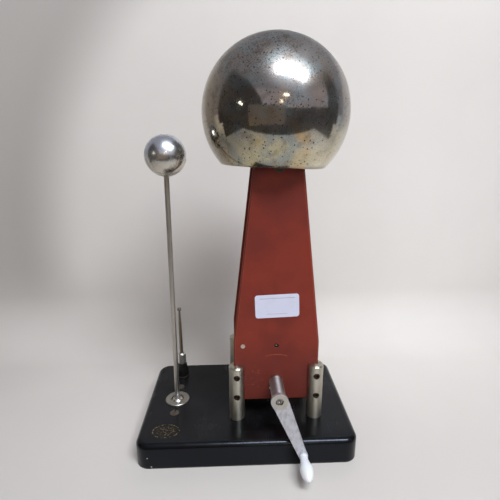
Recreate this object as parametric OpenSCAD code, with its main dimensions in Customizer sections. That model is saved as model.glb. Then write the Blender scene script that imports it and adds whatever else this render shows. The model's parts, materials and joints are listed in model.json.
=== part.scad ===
// Hand-cranked belt generator for a school bench.
// A red insulating tower on a black base carries a plated dome. A crank drives the belt rollers
// through a pair of gears. A hinged rod with a ball stands beside the tower, with an earth terminal
// behind it. Millimetres, +Z up. The origin is the middle of the base's footprint, on the table,
// +X runs from the rod to the tower, and the crank faces -Y.

/* [Base] */
// Length of the base along X
base_l = 192; // [184:1:230]
// Depth of the base along Y
base_d = 126.8; // [122:0.2:150]
// Height of the base's top above the table
base_h = 22.5; // [21:0.5:30]
// Plan radius of the base's corners
base_corner_r = 12; // [8:0.5:18]
// Rounding of the base's top edge
base_edge_r = 5; // [3:0.5:7]
// Wall of the base's skirt
base_wall = 3; // [2.5:0.25:5]
// Thickness of the base's top
base_top_t = 3; // [2.5:0.25:4]
// Thickness of the board that closes the base
cover_t = 1.6; // [1.5:0.1:2.5]
// Thickness of the felt under the base
felt_t = 0.8; // [0.5:0.1:2]
// Radius of the corner pillars that take the cover's screws
pillar_r = 5; // [4:0.5:7]
// Distance from the base's sides to the pillars' axes
pillar_inset = 14; // [12:0.5:20]

/* [Tower] */
// Distance from the base's right end to the tower's axis
tower_inset = 68.8; // [64:0.2:76]
// Depth of the tower between the plates' outer faces
tower_d = 56; // [54:1:70]
// Thickness of the side plates
plate_t = 5; // [4:0.25:6]
// Width of the plates below the shoulder
plate_w = 76; // [72:1:84]
// Width of the plates at the top
plate_top_w = 23.6; // [20:0.4:30]
// Gap between the base and the plates' lower edge
plate_lift = 16.5; // [10:0.5:20]
// Height of the shoulder above the base
shoulder_h = 73.5; // [66:0.5:82]
// Height of the plates' top above the base
plate_h = 299.5; // [292:0.5:310]
// Chamfer along the plates' outer edges
plate_chamfer = 1.3; // [0.5:0.1:2]
// Radius of the plain label's corners
label_r = 2.5; // [1:0.5:5]
// Width of the plain label
label_w = 38.1; // [30:0.1:44]
// Height of the plain label
label_h = 21.2; // [16:0.1:26]
// Height of the label's middle above the base
label_z = 109; // [100:1:150]
// Turn of the label on the plate
label_turn = 2.2; // [0:0.2:10]

/* [Posts] */
// Diameter of the four posts
post_d = 14; // [13:0.5:18]
// Height of the posts
post_h = 52.6; // [48:0.2:60]
// How far a plate's edge stands outside the post's axis
post_overlap = 2.3; // [1.8:0.1:3]
// Chamfer round the top of a post
post_chamfer = 1; // [0.5:0.1:1.5]
// Height of the lower plate screw above the base
screw_low_h = 23.8; // [20.5:0.2:28]
// Height of the upper plate screw above the base
screw_high_h = 43.3; // [38:0.1:46]
// Diameter of the sunk holes for the plate screws
sink_d = 6; // [5.6:0.1:6.6]
// Depth of those sunk holes
sink_depth = 4.5; // [4:0.1:5]

/* [Belt drive] */
// Height of the crank shaft above the base
crank_h = 35.3; // [34:0.1:38]
// Module of the gears
gear_module = 1; // [0.9:0.01:1.04]
// Teeth on the crank gear
crank_teeth = 54; // [48:1:56]
// Teeth on the roller's pinion
pinion_teeth = 18; // [17:1:20]
// Face width of the gears
gear_w = 8; // [6:0.5:9]
// Distance from the tower's middle to the gears' front face
gear_front = 14; // [13:0.25:16]
// Thinning of each tooth, for backlash
backlash = 0.15; // [0.1:0.01:0.25]
// Diameter of the crank shaft
crank_shaft_d = 8; // [7:0.25:9]
// Diameter of both roller axles
axle_d = 4.2; // [3.6:0.1:5]
// Diameter of the lower roller
lower_roller_d = 32; // [28:0.5:34]
// Diameter of the upper roller
upper_roller_d = 27; // [24:0.5:28]
// Height of the upper roller's axle above the base
upper_axle_h = 271.5; // [260:0.5:274]
// Width of the rollers
roller_w = 22; // [20:0.5:24]
// Width of the belt
belt_w = 20; // [16:0.5:20]
// Thickness of the belt
belt_t = 1; // [0.6:0.1:1.2]
// Clearance between the standing belt and the turning rollers
belt_gap = 0.3; // [0.2:0.05:0.5]
// Diameter of the comb's rod
comb_rod_d = 4; // [3:0.25:5]
// Distance from the tower's axis to the comb's rod
comb_x = 29.9; // [28:0.1:32]
// Gap between the comb's points and the belt
comb_gap = 2.5; // [1:0.25:4]

/* [Crank] */
// Outside diameter of the crank's sleeve
sleeve_d = 12.2; // [11.5:0.1:14]
// Distance from the front plate to the crank arm's outer face
arm_reach = 30; // [27:0.5:36]
// Radius of the crank, from its shaft to the handle
crank_r = 47.7; // [44:0.1:50]
// Angle of the crank from straight down, towards +X
crank_angle = 23.7; // [0:0.1:45]
// Gap between the base's front and the arm's lower end as it passes
crank_gap = 4.3; // [3:0.1:8]
// Diameter of the arm's upper end
arm_boss_d = 14.6; // [13.6:0.1:17]
// Diameter of the arm's lower end
arm_eye_d = 7.8; // [7:0.1:9]
// Thickness of the arm
arm_t = 2.5; // [2:0.1:3]
// Length of the handle
knob_l = 25.3; // [20:0.1:34]
// Largest diameter of the handle
knob_d = 10.6; // [9:0.1:12]
// Diameter of the handle's neck
knob_neck_d = 7.1; // [6.4:0.1:8]
// Diameter of the handle's spindle
spindle_d = 3; // [2.4:0.1:3.6]

/* [Dome] */
// Outside diameter of the dome
dome_d = 121; // [118:0.5:130]
// Wall of the dome
dome_wall = 1; // [0.8:0.1:1.5]
// Distance from the dome's centre down to its rim
dome_drop = 42.1; // [40:0.1:44]
// Radius of the rolled rim
lip_r = 3; // [2.4:0.1:3.6]
// Lean of the dome to the right
dome_tilt = 2.4; // [0:0.1:4]
// Shift of the dome from the tower's axis
dome_shift = -0.9; // [-1.5:0.1:1.5]
// Diameter of the disc that the dome sits on
seat_d = 72; // [66:0.5:74]
// Thickness of that disc
seat_t = 2; // [1.5:0.1:3]
// Height of the disc's top above the plates' top
seat_h = 14.4; // [13.6:0.1:18]
// Least gap between the disc's edge and the dome
seat_gap = 0.35; // [0.3:0.05:0.5]

/* [Discharge rod] */
// Distance from the base's left end to the rod's foot
rod_inset = 28.4; // [26:0.1:32]
// Place of the rod along Y
rod_y = -1; // [-3:0.1:2]
// Diameter of the rod
rod_d = 4.5; // [4:0.1:5]
// Diameter of the ball at the rod's top
ball_d = 34.8; // [30:0.2:38]
// Height of that ball's centre above the base
ball_h = 234.7; // [225:0.1:245]
// Lean of the rod towards the dome at rest
rod_lean = 0.5; // [0:0.1:1]
// Diameter of the ball joint at the rod's foot
joint_d = 14; // [13:0.5:15]
// Depth of the ball joint's centre below the base's top
joint_depth = 4; // [3.5:0.1:4.5]
// Diameter of the bezel round the rod's foot
bezel_d = 23; // [21:0.5:26]
// Diameter of the bezel's opening
bezel_hole_d = 12; // [11:0.2:12.6]
// Thickness of the bezel
bezel_t = 1.2; // [1:0.1:1.6]
// Diameter of the ferrule on the rod
ferrule_d = 6.4; // [6:0.1:7]
// Distance from the rod's foot to each screw beside it
foot_screw_y = 20.3; // [19:0.1:24]
// Head diameter of those screws
foot_screw_d = 8.5; // [7:0.1:9]

/* [Earth terminal] */
// Distance from the base's left end to the terminal
terminal_inset = 28; // [26:0.1:32]
// Distance from the base's rear to the terminal
terminal_back = 21.9; // [20:0.1:23]
// Diameter of the fluted nut's lower end
nut_d = 14; // [12:0.2:16]
// Diameter of the fluted nut's upper end
nut_top_d = 9.8; // [9:0.1:11]
// Height of the fluted nut
nut_h = 13.5; // [12:0.5:16]
// Flutes round the nut
flutes = 16; // [12:1:20]
// Width across the flats of the metal collar
collar_af = 7.8; // [7:0.1:9]
// Height of the metal collar
collar_h = 12.3; // [10:0.1:14]
// Length of the pin above the collar
probe_l = 52.5; // [40:0.5:60]
// Thickest diameter of the pin
probe_d = 3.6; // [3:0.1:4]
// Diameter of the bead on the pin
bead_d = 4.2; // [3.6:0.1:6]

/* [Clearances] */
// Radial clearance of a shaft in its bearing
run_gap = 0.05; // [0.03:0.01:0.09]
// Clearance between fixed pieces that slip together
slip_gap = 0.1; // [0.05:0.01:0.2]
// End play between a turning piece and its neighbour
end_gap = 0.3; // [0.2:0.05:0.5]

/* [Hidden] */
$fn = 64;

// How far a cut runs past the face that it opens
cut = 1;
// How far the solids that make one piece run into each other
bite = 0.5;

// Base
cavity_top = base_h - base_top_t;
cover_top = felt_t + cover_t;
pillar_x = base_l / 2 - pillar_inset;
pillar_y = base_d / 2 - pillar_inset;
cover_screw_r = 1.5;
cover_head_r = 3;
cover_screw_depth = 8;
cover_slot = 0.8;
cover_slot_depth = 0.7;
corners = [[-1, -1], [1, -1], [1, 1], [-1, 1]];

// Tower
tower_x = base_l / 2 - tower_inset;
face_y = tower_d / 2;
inner_y = face_y - plate_t;
plate_bottom = base_h + plate_lift;
shoulder = base_h + shoulder_h;
plate_top = base_h + plate_h;
post_x = plate_w / 2 - post_overlap;
post_r = post_d / 2;
post_top = base_h + post_h;
plate_screw_r = 1.5;
plate_head_r = 2.6;
plate_head_h = 1.8;
plate_slot = 0.8;
lip_bite = 0.3;
post_screw_r = 2.5;
post_screw_head_r = 4.3;
post_screw_head_h = 3;
post_screw_grip = 10;
post_socket_af = 4;
post_socket_depth = 1.8;
label_t = 0.15;

// Belt drive
crank_z = base_h + crank_h;
gear_centres = gear_module * (crank_teeth + pinion_teeth) / 2;
lower_z = crank_z + gear_centres;
upper_z = base_h + upper_axle_h;
gear_back = gear_front - gear_w;
crank_r_shaft = crank_shaft_d / 2;
axle_r = axle_d / 2;
bush_wall = 2.5;
bush_flange = 1.5;
flange_y = inner_y - bush_flange;
hub_wall = 4;
hub_r = crank_r_shaft + hub_wall;
axle_hub_wall = 2;
axle_hub_r = axle_r + axle_hub_wall;
axle_recess = 0.6;
gear_holes = 5;
shaft_proud = 1;
roller_space = 1;
roller_front = gear_back - roller_space;
roller_back = roller_front - roller_w;
belt_middle = -(roller_front + roller_back) / 2;
belt_r_low = lower_roller_d / 2 + belt_gap;
belt_r_high = upper_roller_d / 2 + belt_gap;
collar_w = 7;
collar_wall = 3.5;
grub_r = 1;
pressure_angle = 20;

// Combs
comb_r = comb_rod_d / 2;
comb_wall = 0.8;
comb_t = 0.6;
comb_teeth = 9;
comb_tooth_l = 5;
comb_proud = 0.8;
comb_rear_bite = 4;
lead_r = 1.5;
lead_block = 7;
lead_y = rod_y + foot_screw_y;
lead_w = 4;
strap_t = 0.8;
strap_w = 6;
lock_nut_af = 8;
lock_nut_h = 3;
lead_nut_af = 5.5;
lead_nut_h = 2.2;
lead_proud = 1;
lead_bottom = cavity_top - strap_t - lead_nut_h - lead_proud;
upper_comb_arm = 16;

// Bridge and dome seat
bridge_w = 16;
bridge_h = 8;
bridge_screw_r = 1.5;
bridge_head_r = 2.8;
bridge_head_h = 1.6;
bridge_screw_grip = 10;
bridge_screw_x = 4.5;
bridge_slot = 0.8;
stud_r = 4;
stud_nut_af = 10;
stud_nut_h = 3;
tie_drop = 44.2;
tie_z = upper_z - tie_drop;
tie_r = 5;
tie_screw_r = 2;
tie_head_r = 5.3;
tie_head_h = 1.2;
tie_socket_r = 1.5;
tie_socket_depth = 2.7;
tie_screw_grip = 10;
dome_r = dome_d / 2;
dome_in = dome_r - dome_wall;
seat_top = plate_top + seat_h;
seat_clear = seat_gap + abs(dome_shift) * seat_d / 2 / dome_in;
dome_x = tower_x + dome_shift;
dome_z = seat_top - sqrt(pow(dome_in - seat_clear, 2) - pow(seat_d / 2, 2));
lip_z = -(dome_drop - lip_r);
lip_x = sqrt(pow(dome_r - lip_r, 2) - pow(lip_z, 2));
lip_start = atan2(lip_z, lip_x);
lip_end = -165;

// Crank
sleeve_r = sleeve_d / 2;
sleeve_gap = 0.4;
sleeve_back = face_y + sleeve_gap;
arm_face = face_y + arm_reach;
arm_set = base_d / 2 + crank_gap + arm_t - arm_face;
sleeve_front = arm_face - arm_t;
arm_bend = 7;
eye_flat = 0.6;
arm_flat_end = arm_eye_d / 2 + eye_flat;
arm_run = crank_r - arm_flat_end - arm_bend;
arm_pitch = atan2(arm_set, arm_run);
crank_head_r = 2.75;
crank_head_proud = 0.4;
crank_recess_r = 3.4;
crank_recess_depth = 2;
crank_web = 2;
crank_screw_r = 1.6;
crank_screw_grip = 6;
crank_socket_af = 2.8;
crank_socket_depth = 2.1;
crank_seat = sleeve_front - crank_recess_depth;
shaft_front = crank_seat - crank_web;
grub_angle = 100;
grub_place = 7.5;
grub_proud = 0.9;
spindle_r = spindle_d / 2;
spindle_rim = 1.1;
spindle_head_r = spindle_r + spindle_rim;
spindle_head_h = 1.2;
eye_face = arm_face + arm_set;
knob_front = eye_face + end_gap;
knob_bore_l = 16;
knob_keep_r = 2.5;
knob_keep_h = 1.5;
knob_neck_dip = 0.25;
knob_neck_end = 0.12;
knob_belly = 0.6;
knob_tip_power = 2.2;
knob_steps = 24;

// Discharge rod
rod_x = base_l / 2 - rod_inset;
joint_r = joint_d / 2;
joint_clear = 0.2;
joint_z = base_h - joint_depth;
rod_r = rod_d / 2;
ball_r = ball_d / 2;
ball_rise = base_h + ball_h - joint_z;
ferrule_rise = sqrt(pow(joint_r, 2) - pow(ferrule_d / 2, 2));
ferrule_h = 4.4;
ferrule_crown = 1.2;
ferrule_taper = 0.8;
socket_end = 5.5;
socket_l = 2 * (foot_screw_y + socket_end);
socket_w = 20;
socket_wall = 2;
socket_z = joint_z - joint_r - socket_wall;
foot_screw_r = 2;
foot_screw_end = 2;
foot_slot = 1;
foot_slot_depth = 1;
foot_slot_front = 80;
foot_slot_rear = 20;

// Earth terminal
terminal_x = base_l / 2 - terminal_inset;
terminal_y = base_d / 2 - terminal_back;
stud_term_r = 2.5;
tail_r = 1.6;
tail_l = 10;
terminal_washer_t = 1;
washer_inset = 0.2;
terminal_washer_r = nut_d / 2 - washer_inset;
nut_bottom = base_h + terminal_washer_t + slip_gap;
nut_top = nut_bottom + nut_h;
stud_sunk = 0.5;
stud_top = nut_top - stud_sunk;
stud_bottom = cavity_top - strap_t - lock_nut_h - 2;
collar_bottom = nut_top + end_gap / 2;
collar_top = collar_bottom + collar_h;
flute_r = 0.8;
collar_foot = [0.4, 1.2];
collar_crown = [0.9, 1.6];
pin_foot_h = 2;
pin_mid_d = 3.1;
pin_mid_h = 34.6;
pin_tip_d = 1.8;

// Places children with their +Z along +Y.
module along_y() rotate([-90, 0, 0]) children();

// Raises an outline drawn in X and Z into a slab from y0 to y0 + t.
module slab(y0, t) translate([0, y0 + t, 0]) rotate([90, 0, 0]) linear_extrude(t) children();

// A bar of radius r along +Y, centred on x and z, from y0 to y1.
module y_bar(x, z, r, y0, y1) translate([x, y0, z]) along_y() cylinder(r = r, h = y1 - y0);

// A regular hexagon by its width across the flats.
module hexagon(af) circle(r = af / 2 / cos(30), $fn = 6);

// A rectangle with true round corners.
module round_rect(l, d, r) {
    square([l, d - 2 * r], center = true);
    square([l - 2 * r, d], center = true);
    for (c = corners)
        translate([c[0] * (l / 2 - r), c[1] * (d / 2 - r)]) circle(r);
}

// The outline of the side plates in X and Z, with X counted from the tower's axis
plate_outline = [
    [-plate_w / 2, plate_bottom], [plate_w / 2, plate_bottom],
    [plate_w / 2, shoulder], [plate_top_w / 2, plate_top],
    [-plate_top_w / 2, plate_top], [-plate_w / 2, shoulder]];

// ---- Base ----

// A block of the given height with plan corners of radius r, and its top edge rounded by e.
module crowned_block(l, d, h, r, e) {
    side = [l / 2 - r, d / 2 - r];
    for (i = [0:3])
        translate([corners[i][0] * side[0], corners[i][1] * side[1], 0])
            rotate(180 + 90 * i) rotate_extrude(angle = 90) crown_profile(r, h, e);
    for (s = [0, 1]) {
        half = [side[s], side[1 - s]];
        rotate(90 * s)
            for (m = [0, 1])
                mirror([0, m, 0]) translate([half[0], half[1], 0])
                    rotate([90, 0, -90]) linear_extrude(2 * half[0]) mirror([1, 0]) crown_profile(r, h, e);
    }
    translate([-side[0], -side[1], 0]) cube([2 * side[0], 2 * side[1], h]);
}

module crown_profile(r, h, e) {
    square([r - e, h]);
    translate([r - e, 0]) square([e, h - e]);
    intersection() {
        translate([r - e, h - e]) circle(e);
        translate([r - e, h - e]) square([e, e]);
    }
}

module base_cavity() {
    inner_r = base_corner_r - base_wall;
    translate([0, 0, felt_t - cut]) linear_extrude(cavity_top - felt_t + cut)
        round_rect(base_l - 2 * base_wall, base_d - 2 * base_wall, inner_r);
}

module at_pillars() for (c = corners) translate([c[0] * pillar_x, c[1] * pillar_y, 0]) children();

module at_posts() for (c = corners) translate([tower_x + c[0] * post_x, c[1] * face_y, 0]) children();

module base_pan() color([0.03, 0.03, 0.035]) difference() {
    union() {
        difference() {
            translate([0, 0, felt_t])
                crowned_block(base_l, base_d, base_h - felt_t, base_corner_r, base_edge_r);
            base_cavity();
        }
        at_pillars() translate([0, 0, cover_top]) cylinder(r = pillar_r, h = cavity_top - cover_top + bite);
    }
    at_pillars() translate([0, 0, cover_top - cut])
        cylinder(r = cover_screw_r, h = cover_screw_depth + 2 * cut);
    at_posts() top_hole(post_screw_r);
    translate([-rod_x, rod_y, 0]) top_hole(joint_r + joint_clear);
    at_foot_screws() foot_screw_form(cut);
    at_terminal() top_hole(stud_term_r);
    translate([tower_x - comb_x, lead_y, 0]) top_hole(lead_r);
}

// A hole of radius r through the base's top.
module top_hole(r) translate([0, 0, cavity_top - cut]) cylinder(r = r, h = base_top_t + 2 * cut);

module base_cover() color([0.35, 0.25, 0.17]) difference() {
    translate([0, 0, felt_t]) linear_extrude(cover_t)
        round_rect(base_l - 2 * base_wall - 2 * slip_gap, base_d - 2 * base_wall - 2 * slip_gap,
            base_corner_r - base_wall - slip_gap);
    at_pillars() cover_screw_form(cut);
}

module base_felt() color([0.08, 0.2, 0.12])
    linear_extrude(felt_t) round_rect(base_l, base_d, base_corner_r);

// A countersunk screw, head down, or the hole for it when it is made longer by extra.
module cover_screw_form(extra) {
    head = cover_head_r - cover_screw_r;
    if (extra > 0)
        translate([0, 0, felt_t - extra]) cylinder(r = cover_head_r, h = extra);
    translate([0, 0, felt_t]) cylinder(r1 = cover_head_r, r2 = cover_screw_r, h = head);
    translate([0, 0, felt_t]) cylinder(r = cover_screw_r, h = cover_t + cover_screw_depth);
}

module cover_screws() color([0.7, 0.68, 0.6]) at_pillars() difference() {
    cover_screw_form(0);
    translate([-cover_head_r, -cover_slot / 2, felt_t - cut])
        cube([2 * cover_head_r, cover_slot, cover_slot_depth + cut]);
}

// ---- Posts and plates ----

// One post at the origin of its own place: sx is the side it stands on and sy is the face.
module post(sx, sy) translate([tower_x + sx * post_x, sy * face_y, 0]) color([0.62, 0.6, 0.55])
    difference() {
        union() {
            translate([0, 0, base_h]) cylinder(r = post_r, h = post_h - post_chamfer);
            translate([0, 0, post_top - post_chamfer])
                cylinder(r1 = post_r, r2 = post_r - post_chamfer, h = post_chamfer);
        }
        // Slot for the plate: open at the top and towards the tower's middle.
        mirror([sx > 0 ? 0 : 1, 0, 0]) mirror([0, sy > 0 ? 0 : 1, 0])
            translate([-post_d, -plate_t - slip_gap, plate_bottom])
                cube([post_d + post_overlap + slip_gap, plate_t + slip_gap, post_h]);
        for (z = [screw_low_h, screw_high_h]) mirror([0, sy > 0 ? 0 : 1, 0]) {
            y_bar(0, base_h + z, sink_d / 2, post_r - sink_depth, post_r + cut);
            y_bar(0, base_h + z, plate_screw_r, -post_r - cut, post_r);
        }
        translate([0, 0, base_h - cut]) cylinder(r = post_screw_r, h = post_screw_grip + cut);
    }

module post_front_left() post(-1, -1);
module post_front_right() post(1, -1);
module post_rear_left() post(-1, 1);
module post_rear_right() post(1, 1);

module post_screws() color([0.5, 0.5, 0.52]) at_posts() difference() {
    union() {
        translate([0, 0, cavity_top - post_screw_head_h])
            cylinder(r = post_screw_head_r, h = post_screw_head_h);
        translate([0, 0, cavity_top - bite])
            cylinder(r = post_screw_r, h = base_top_t + post_screw_grip + bite);
    }
    translate([0, 0, cavity_top - post_screw_head_h - cut])
        linear_extrude(post_socket_depth + cut) hexagon(post_socket_af);
}

// A long square prism laid on the edge from p to q, on the plane y = 0, to chamfer it by c.
module edge_cutter(p, q, c) {
    length = norm(q - p);
    translate([(p[0] + q[0]) / 2, 0, (p[1] + q[1]) / 2])
        rotate([0, -atan2(q[1] - p[1], q[0] - p[0]), 0]) rotate([45, 0, 0])
            cube([length + 4 * c, c * sqrt(2), c * sqrt(2)], center = true);
}

// A side plate with its outer face at -face_y, mirrored for the rear one.
module side_plate() difference() {
    translate([tower_x, 0, 0]) slab(-face_y, plate_t) polygon(plate_outline);
    for (i = [0, 1, 2, 4, 5])
        translate([tower_x, -face_y, 0])
            edge_cutter(plate_outline[i], plate_outline[(i + 1) % 6], plate_chamfer);
    for (s = [-1, 1]) for (z = [screw_low_h, screw_high_h])
        plate_hole(tower_x + s * post_x, base_h + z, plate_screw_r);
    plate_hole(tower_x, crank_z, crank_r_shaft + bush_wall);
    plate_hole(tower_x, lower_z, axle_r + run_gap);
    plate_hole(tower_x, upper_z, axle_r + run_gap);
    plate_hole(tower_x, tie_z, tie_screw_r);
    for (s = [-1, 1])
        plate_hole(tower_x + s * bridge_screw_x, plate_top - bridge_h / 2, bridge_screw_r);
}

// A hole of radius r through the front plate.
module plate_hole(x, z, r) y_bar(x, z, r, -face_y - cut, -inner_y + cut);

module front_plate() color([0.45, 0.18, 0.14]) difference() {
    side_plate();
    plate_hole(tower_x - comb_x, lower_z, comb_r);
}

module rear_plate() color([0.45, 0.18, 0.14]) difference() {
    mirror([0, 1, 0]) side_plate();
    y_bar(tower_x - comb_x, lower_z, comb_r, inner_y - cut, inner_y + comb_rear_bite);
}

module plate_screws() color([0.35, 0.2, 0.16])
    for (c = corners) for (z = [screw_low_h, screw_high_h])
        translate([tower_x + c[0] * post_x, c[1] * face_y, base_h + z]) mirror([0, c[1] > 0 ? 0 : 1, 0])
            difference() {
                union() {
                    y_bar(0, 0, plate_head_r, post_r - sink_depth, post_r - sink_depth + plate_head_h);
                    y_bar(0, 0, plate_screw_r, -post_r + lip_bite, post_r - sink_depth + bite);
                }
                translate([-plate_slot / 2, post_r - sink_depth + plate_head_h - plate_slot, -plate_head_r])
                    cube([plate_slot, plate_slot + cut, 2 * plate_head_r]);
            }

module plain_label() color([0.9, 0.91, 0.95])
    translate([tower_x, 0, base_h + label_z]) rotate([0, -label_turn, 0])
        slab(-face_y - label_t, label_t) round_rect(label_w, label_h, label_r);

// ---- Tie bar, bridge and bushes ----

module tie_bar() color([0.6, 0.62, 0.6]) difference() {
    y_bar(tower_x, tie_z, tie_r, -inner_y, inner_y);
    for (s = [0, 1]) mirror([0, s, 0])
        y_bar(tower_x, tie_z, tie_screw_r, -inner_y - cut, -inner_y + tie_screw_grip);
}

module tie_bar_screws() color([0.55, 0.58, 0.52])
    for (s = [0, 1]) mirror([0, s, 0]) difference() {
        union() {
            y_bar(tower_x, tie_z, tie_head_r, -face_y - tie_head_h, -face_y);
            y_bar(tower_x, tie_z, tie_screw_r, -face_y - bite, -inner_y + tie_screw_grip);
        }
        y_bar(tower_x, tie_z, tie_socket_r,
            -face_y - tie_head_h - cut, -face_y - tie_head_h + tie_socket_depth);
    }

module bush() difference() {
    union() {
        y_bar(tower_x, crank_z, crank_r_shaft + bush_wall, -face_y, -inner_y + bite);
        y_bar(tower_x, crank_z, hub_r, -inner_y, -flange_y);
    }
    y_bar(tower_x, crank_z, crank_r_shaft + run_gap, -face_y - cut, -flange_y + cut);
}

module front_bush() color([0.65, 0.5, 0.28]) bush();
module rear_bush() color([0.65, 0.5, 0.28]) mirror([0, 1, 0]) bush();

module top_bridge() color([0.62, 0.62, 0.6]) difference() {
    translate([tower_x - bridge_w / 2, -inner_y, plate_top - bridge_h]) cube([bridge_w, 2 * inner_y, bridge_h]);
    for (m = [0, 1]) mirror([0, m, 0]) for (s = [-1, 1])
        y_bar(tower_x + s * bridge_screw_x, plate_top - bridge_h / 2, bridge_screw_r,
            -inner_y - cut, -inner_y + bridge_screw_grip);
    translate([tower_x, 0, plate_top - bridge_h - cut]) cylinder(r = stud_r, h = bridge_h + 2 * cut);
}

module bridge_screws() color([0.6, 0.6, 0.55])
    for (m = [0, 1]) mirror([0, m, 0]) for (s = [-1, 1]) difference() {
        union() {
            y_bar(tower_x + s * bridge_screw_x, plate_top - bridge_h / 2, bridge_head_r,
                -face_y - bridge_head_h, -face_y);
            y_bar(tower_x + s * bridge_screw_x, plate_top - bridge_h / 2, bridge_screw_r,
                -face_y - bite, -inner_y + bridge_screw_grip);
        }
        translate([tower_x + s * bridge_screw_x, -face_y - bridge_head_h - cut, plate_top - bridge_h])
            translate([-bridge_slot / 2, 0, 0]) cube([bridge_slot, bridge_slot + cut, bridge_h]);
    }

module dome_stud() color([0.6, 0.6, 0.58])
    translate([tower_x, 0, plate_top - bridge_h]) cylinder(r = stud_r, h = bridge_h + seat_h);

module dome_stud_nut() color([0.6, 0.6, 0.58]) difference() {
    translate([tower_x, 0, plate_top]) linear_extrude(stud_nut_h) hexagon(stud_nut_af);
    translate([tower_x, 0, plate_top - cut]) cylinder(r = stud_r, h = stud_nut_h + 2 * cut);
}

module dome_seat() color([0.7, 0.6, 0.35]) difference() {
    translate([tower_x, 0, seat_top - seat_t]) cylinder(r = seat_d / 2, h = seat_t);
    translate([tower_x, 0, seat_top - seat_t - cut]) cylinder(r = stud_r, h = seat_t + 2 * cut);
}

// ---- Gears, rollers and belt ----

// A point of the involute of base radius rb, unrolled by t degrees.
function involute(rb, t) = [rb * (cos(t) + t * PI / 180 * sin(t)), rb * (sin(t) - t * PI / 180 * cos(t))];

function turned(p, a) = [p[0] * cos(a) - p[1] * sin(a), p[0] * sin(a) + p[1] * cos(a)];

// One tooth centred on angle 0: root, four points up one flank, and the same down the other.
function tooth(n, m) =
    let (rp = n * m / 2, rb = rp * cos(pressure_angle), ra = rp + m, rr = rp - 1.25 * m,
        t_tip = sqrt(pow(ra / rb, 2) - 1) * 180 / PI,
        t_pitch = tan(pressure_angle) * 180 / PI,
        t_root = rr > rb ? sqrt(pow(rr / rb, 2) - 1) * 180 / PI : 0,
        inv = t_pitch - pressure_angle,
        half = (PI * m / 2 - backlash) / (2 * rp) * 180 / PI,
        rise = [for (i = [0:3]) turned(involute(rb, t_root + (t_tip - t_root) * i / 3), -half - inv)],
        foot = rr > rb ? [] : [turned([rr, 0], -half - inv)],
        up = concat(foot, rise))
    concat(up, [for (i = [len(up) - 1:-1:0]) [up[i][0], -up[i][1]]]);

module gear_outline(n, m, phase) polygon([for (k = [0:n - 1]) each
    [for (p = tooth(n, m)) turned(p, phase + k * 360 / n)]]);

module crank_gear() color([0.2, 0.2, 0.2]) difference() {
    union() {
        translate([tower_x, 0, crank_z]) slab(-gear_front, gear_w) gear_outline(crank_teeth, gear_module, 90);
        y_bar(tower_x, crank_z, hub_r, -flange_y + end_gap, -gear_back);
    }
    y_bar(tower_x, crank_z, crank_r_shaft, -face_y, face_y);
    for (k = [0:gear_holes - 1]) translate([tower_x, 0, crank_z]) rotate([0, k * 360 / gear_holes, 0])
        y_bar(0, hub_r + (crank_teeth * gear_module / 2 - hub_r) / 2, hub_r / 2, -face_y, face_y);
}

module pinion_gear() color([0.72, 0.58, 0.3]) difference() {
    union() {
        // A gap of the pinion faces the crank gear's top tooth.
        translate([tower_x, 0, lower_z]) slab(-gear_front, gear_w)
            gear_outline(pinion_teeth, gear_module, -90 + 180 / pinion_teeth);
        y_bar(tower_x, lower_z, axle_hub_r, -inner_y + end_gap, -gear_back);
    }
    y_bar(tower_x, lower_z, axle_r, -face_y, face_y);
}

module roller(z, r) difference() {
    union() {
        y_bar(tower_x, z, r, -roller_front, -roller_back);
        y_bar(tower_x, z, axle_hub_r, -roller_back - bite, inner_y - end_gap);
    }
    y_bar(tower_x, z, axle_r, -face_y, face_y);
}

module lower_roller() color([0.85, 0.83, 0.76]) roller(lower_z, lower_roller_d / 2);

module upper_roller() color([0.9, 0.9, 0.88]) difference() {
    union() {
        roller(upper_z, upper_roller_d / 2);
        y_bar(tower_x, upper_z, axle_hub_r, -inner_y + end_gap, -roller_front + bite);
    }
    y_bar(tower_x, upper_z, axle_r, -face_y, face_y);
}

module axle(z) y_bar(tower_x, z, axle_r, -face_y + axle_recess, face_y - axle_recess);

module lower_axle() color([0.6, 0.6, 0.6]) axle(lower_z);
module upper_axle() color([0.6, 0.6, 0.6]) axle(upper_z);

module crank_shaft() color([0.55, 0.55, 0.56]) difference() {
    y_bar(tower_x, crank_z, crank_r_shaft, -shaft_front, face_y + shaft_proud);
    y_bar(tower_x, crank_z, crank_screw_r, -shaft_front - cut, -shaft_front + crank_screw_grip + cut);
}

module shaft_collar() color([0.55, 0.55, 0.5]) difference() {
    y_bar(tower_x, crank_z, crank_r_shaft + collar_wall, flange_y - end_gap - collar_w, flange_y - end_gap);
    y_bar(tower_x, crank_z, crank_r_shaft, 0, face_y);
    translate([tower_x, flange_y - end_gap - collar_w / 2, crank_z])
        cylinder(r = grub_r, h = crank_r_shaft + collar_wall + cut);
}

// The loop at radius r_low round the lower roller and r_high round the upper one, as points.
function belt_loop(r_low, r_high) =
    let (span = upper_z - lower_z, lean = asin((r_low - r_high) / span), steps = 48)
    concat(
        [for (i = [0:steps]) let (a = lean + (180 - 2 * lean) * i / steps)
            [r_high * cos(a), upper_z + r_high * sin(a)]],
        [for (i = [0:steps]) let (a = 180 - lean + (180 + 2 * lean) * i / steps)
            [r_low * cos(a), lower_z + r_low * sin(a)]]);

module drive_belt() color([0.72, 0.62, 0.5])
    translate([tower_x, 0, 0]) slab(belt_middle - belt_w / 2, belt_w) difference() {
        polygon(belt_loop(belt_r_low + belt_t, belt_r_high + belt_t));
        polygon(belt_loop(belt_r_low, belt_r_high));
    }

// ---- Combs and earthing ----

module lower_comb_rod() color([0.75, 0.7, 0.55])
    y_bar(tower_x - comb_x, lower_z, comb_r, -face_y - comb_proud, inner_y + comb_rear_bite);

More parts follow.
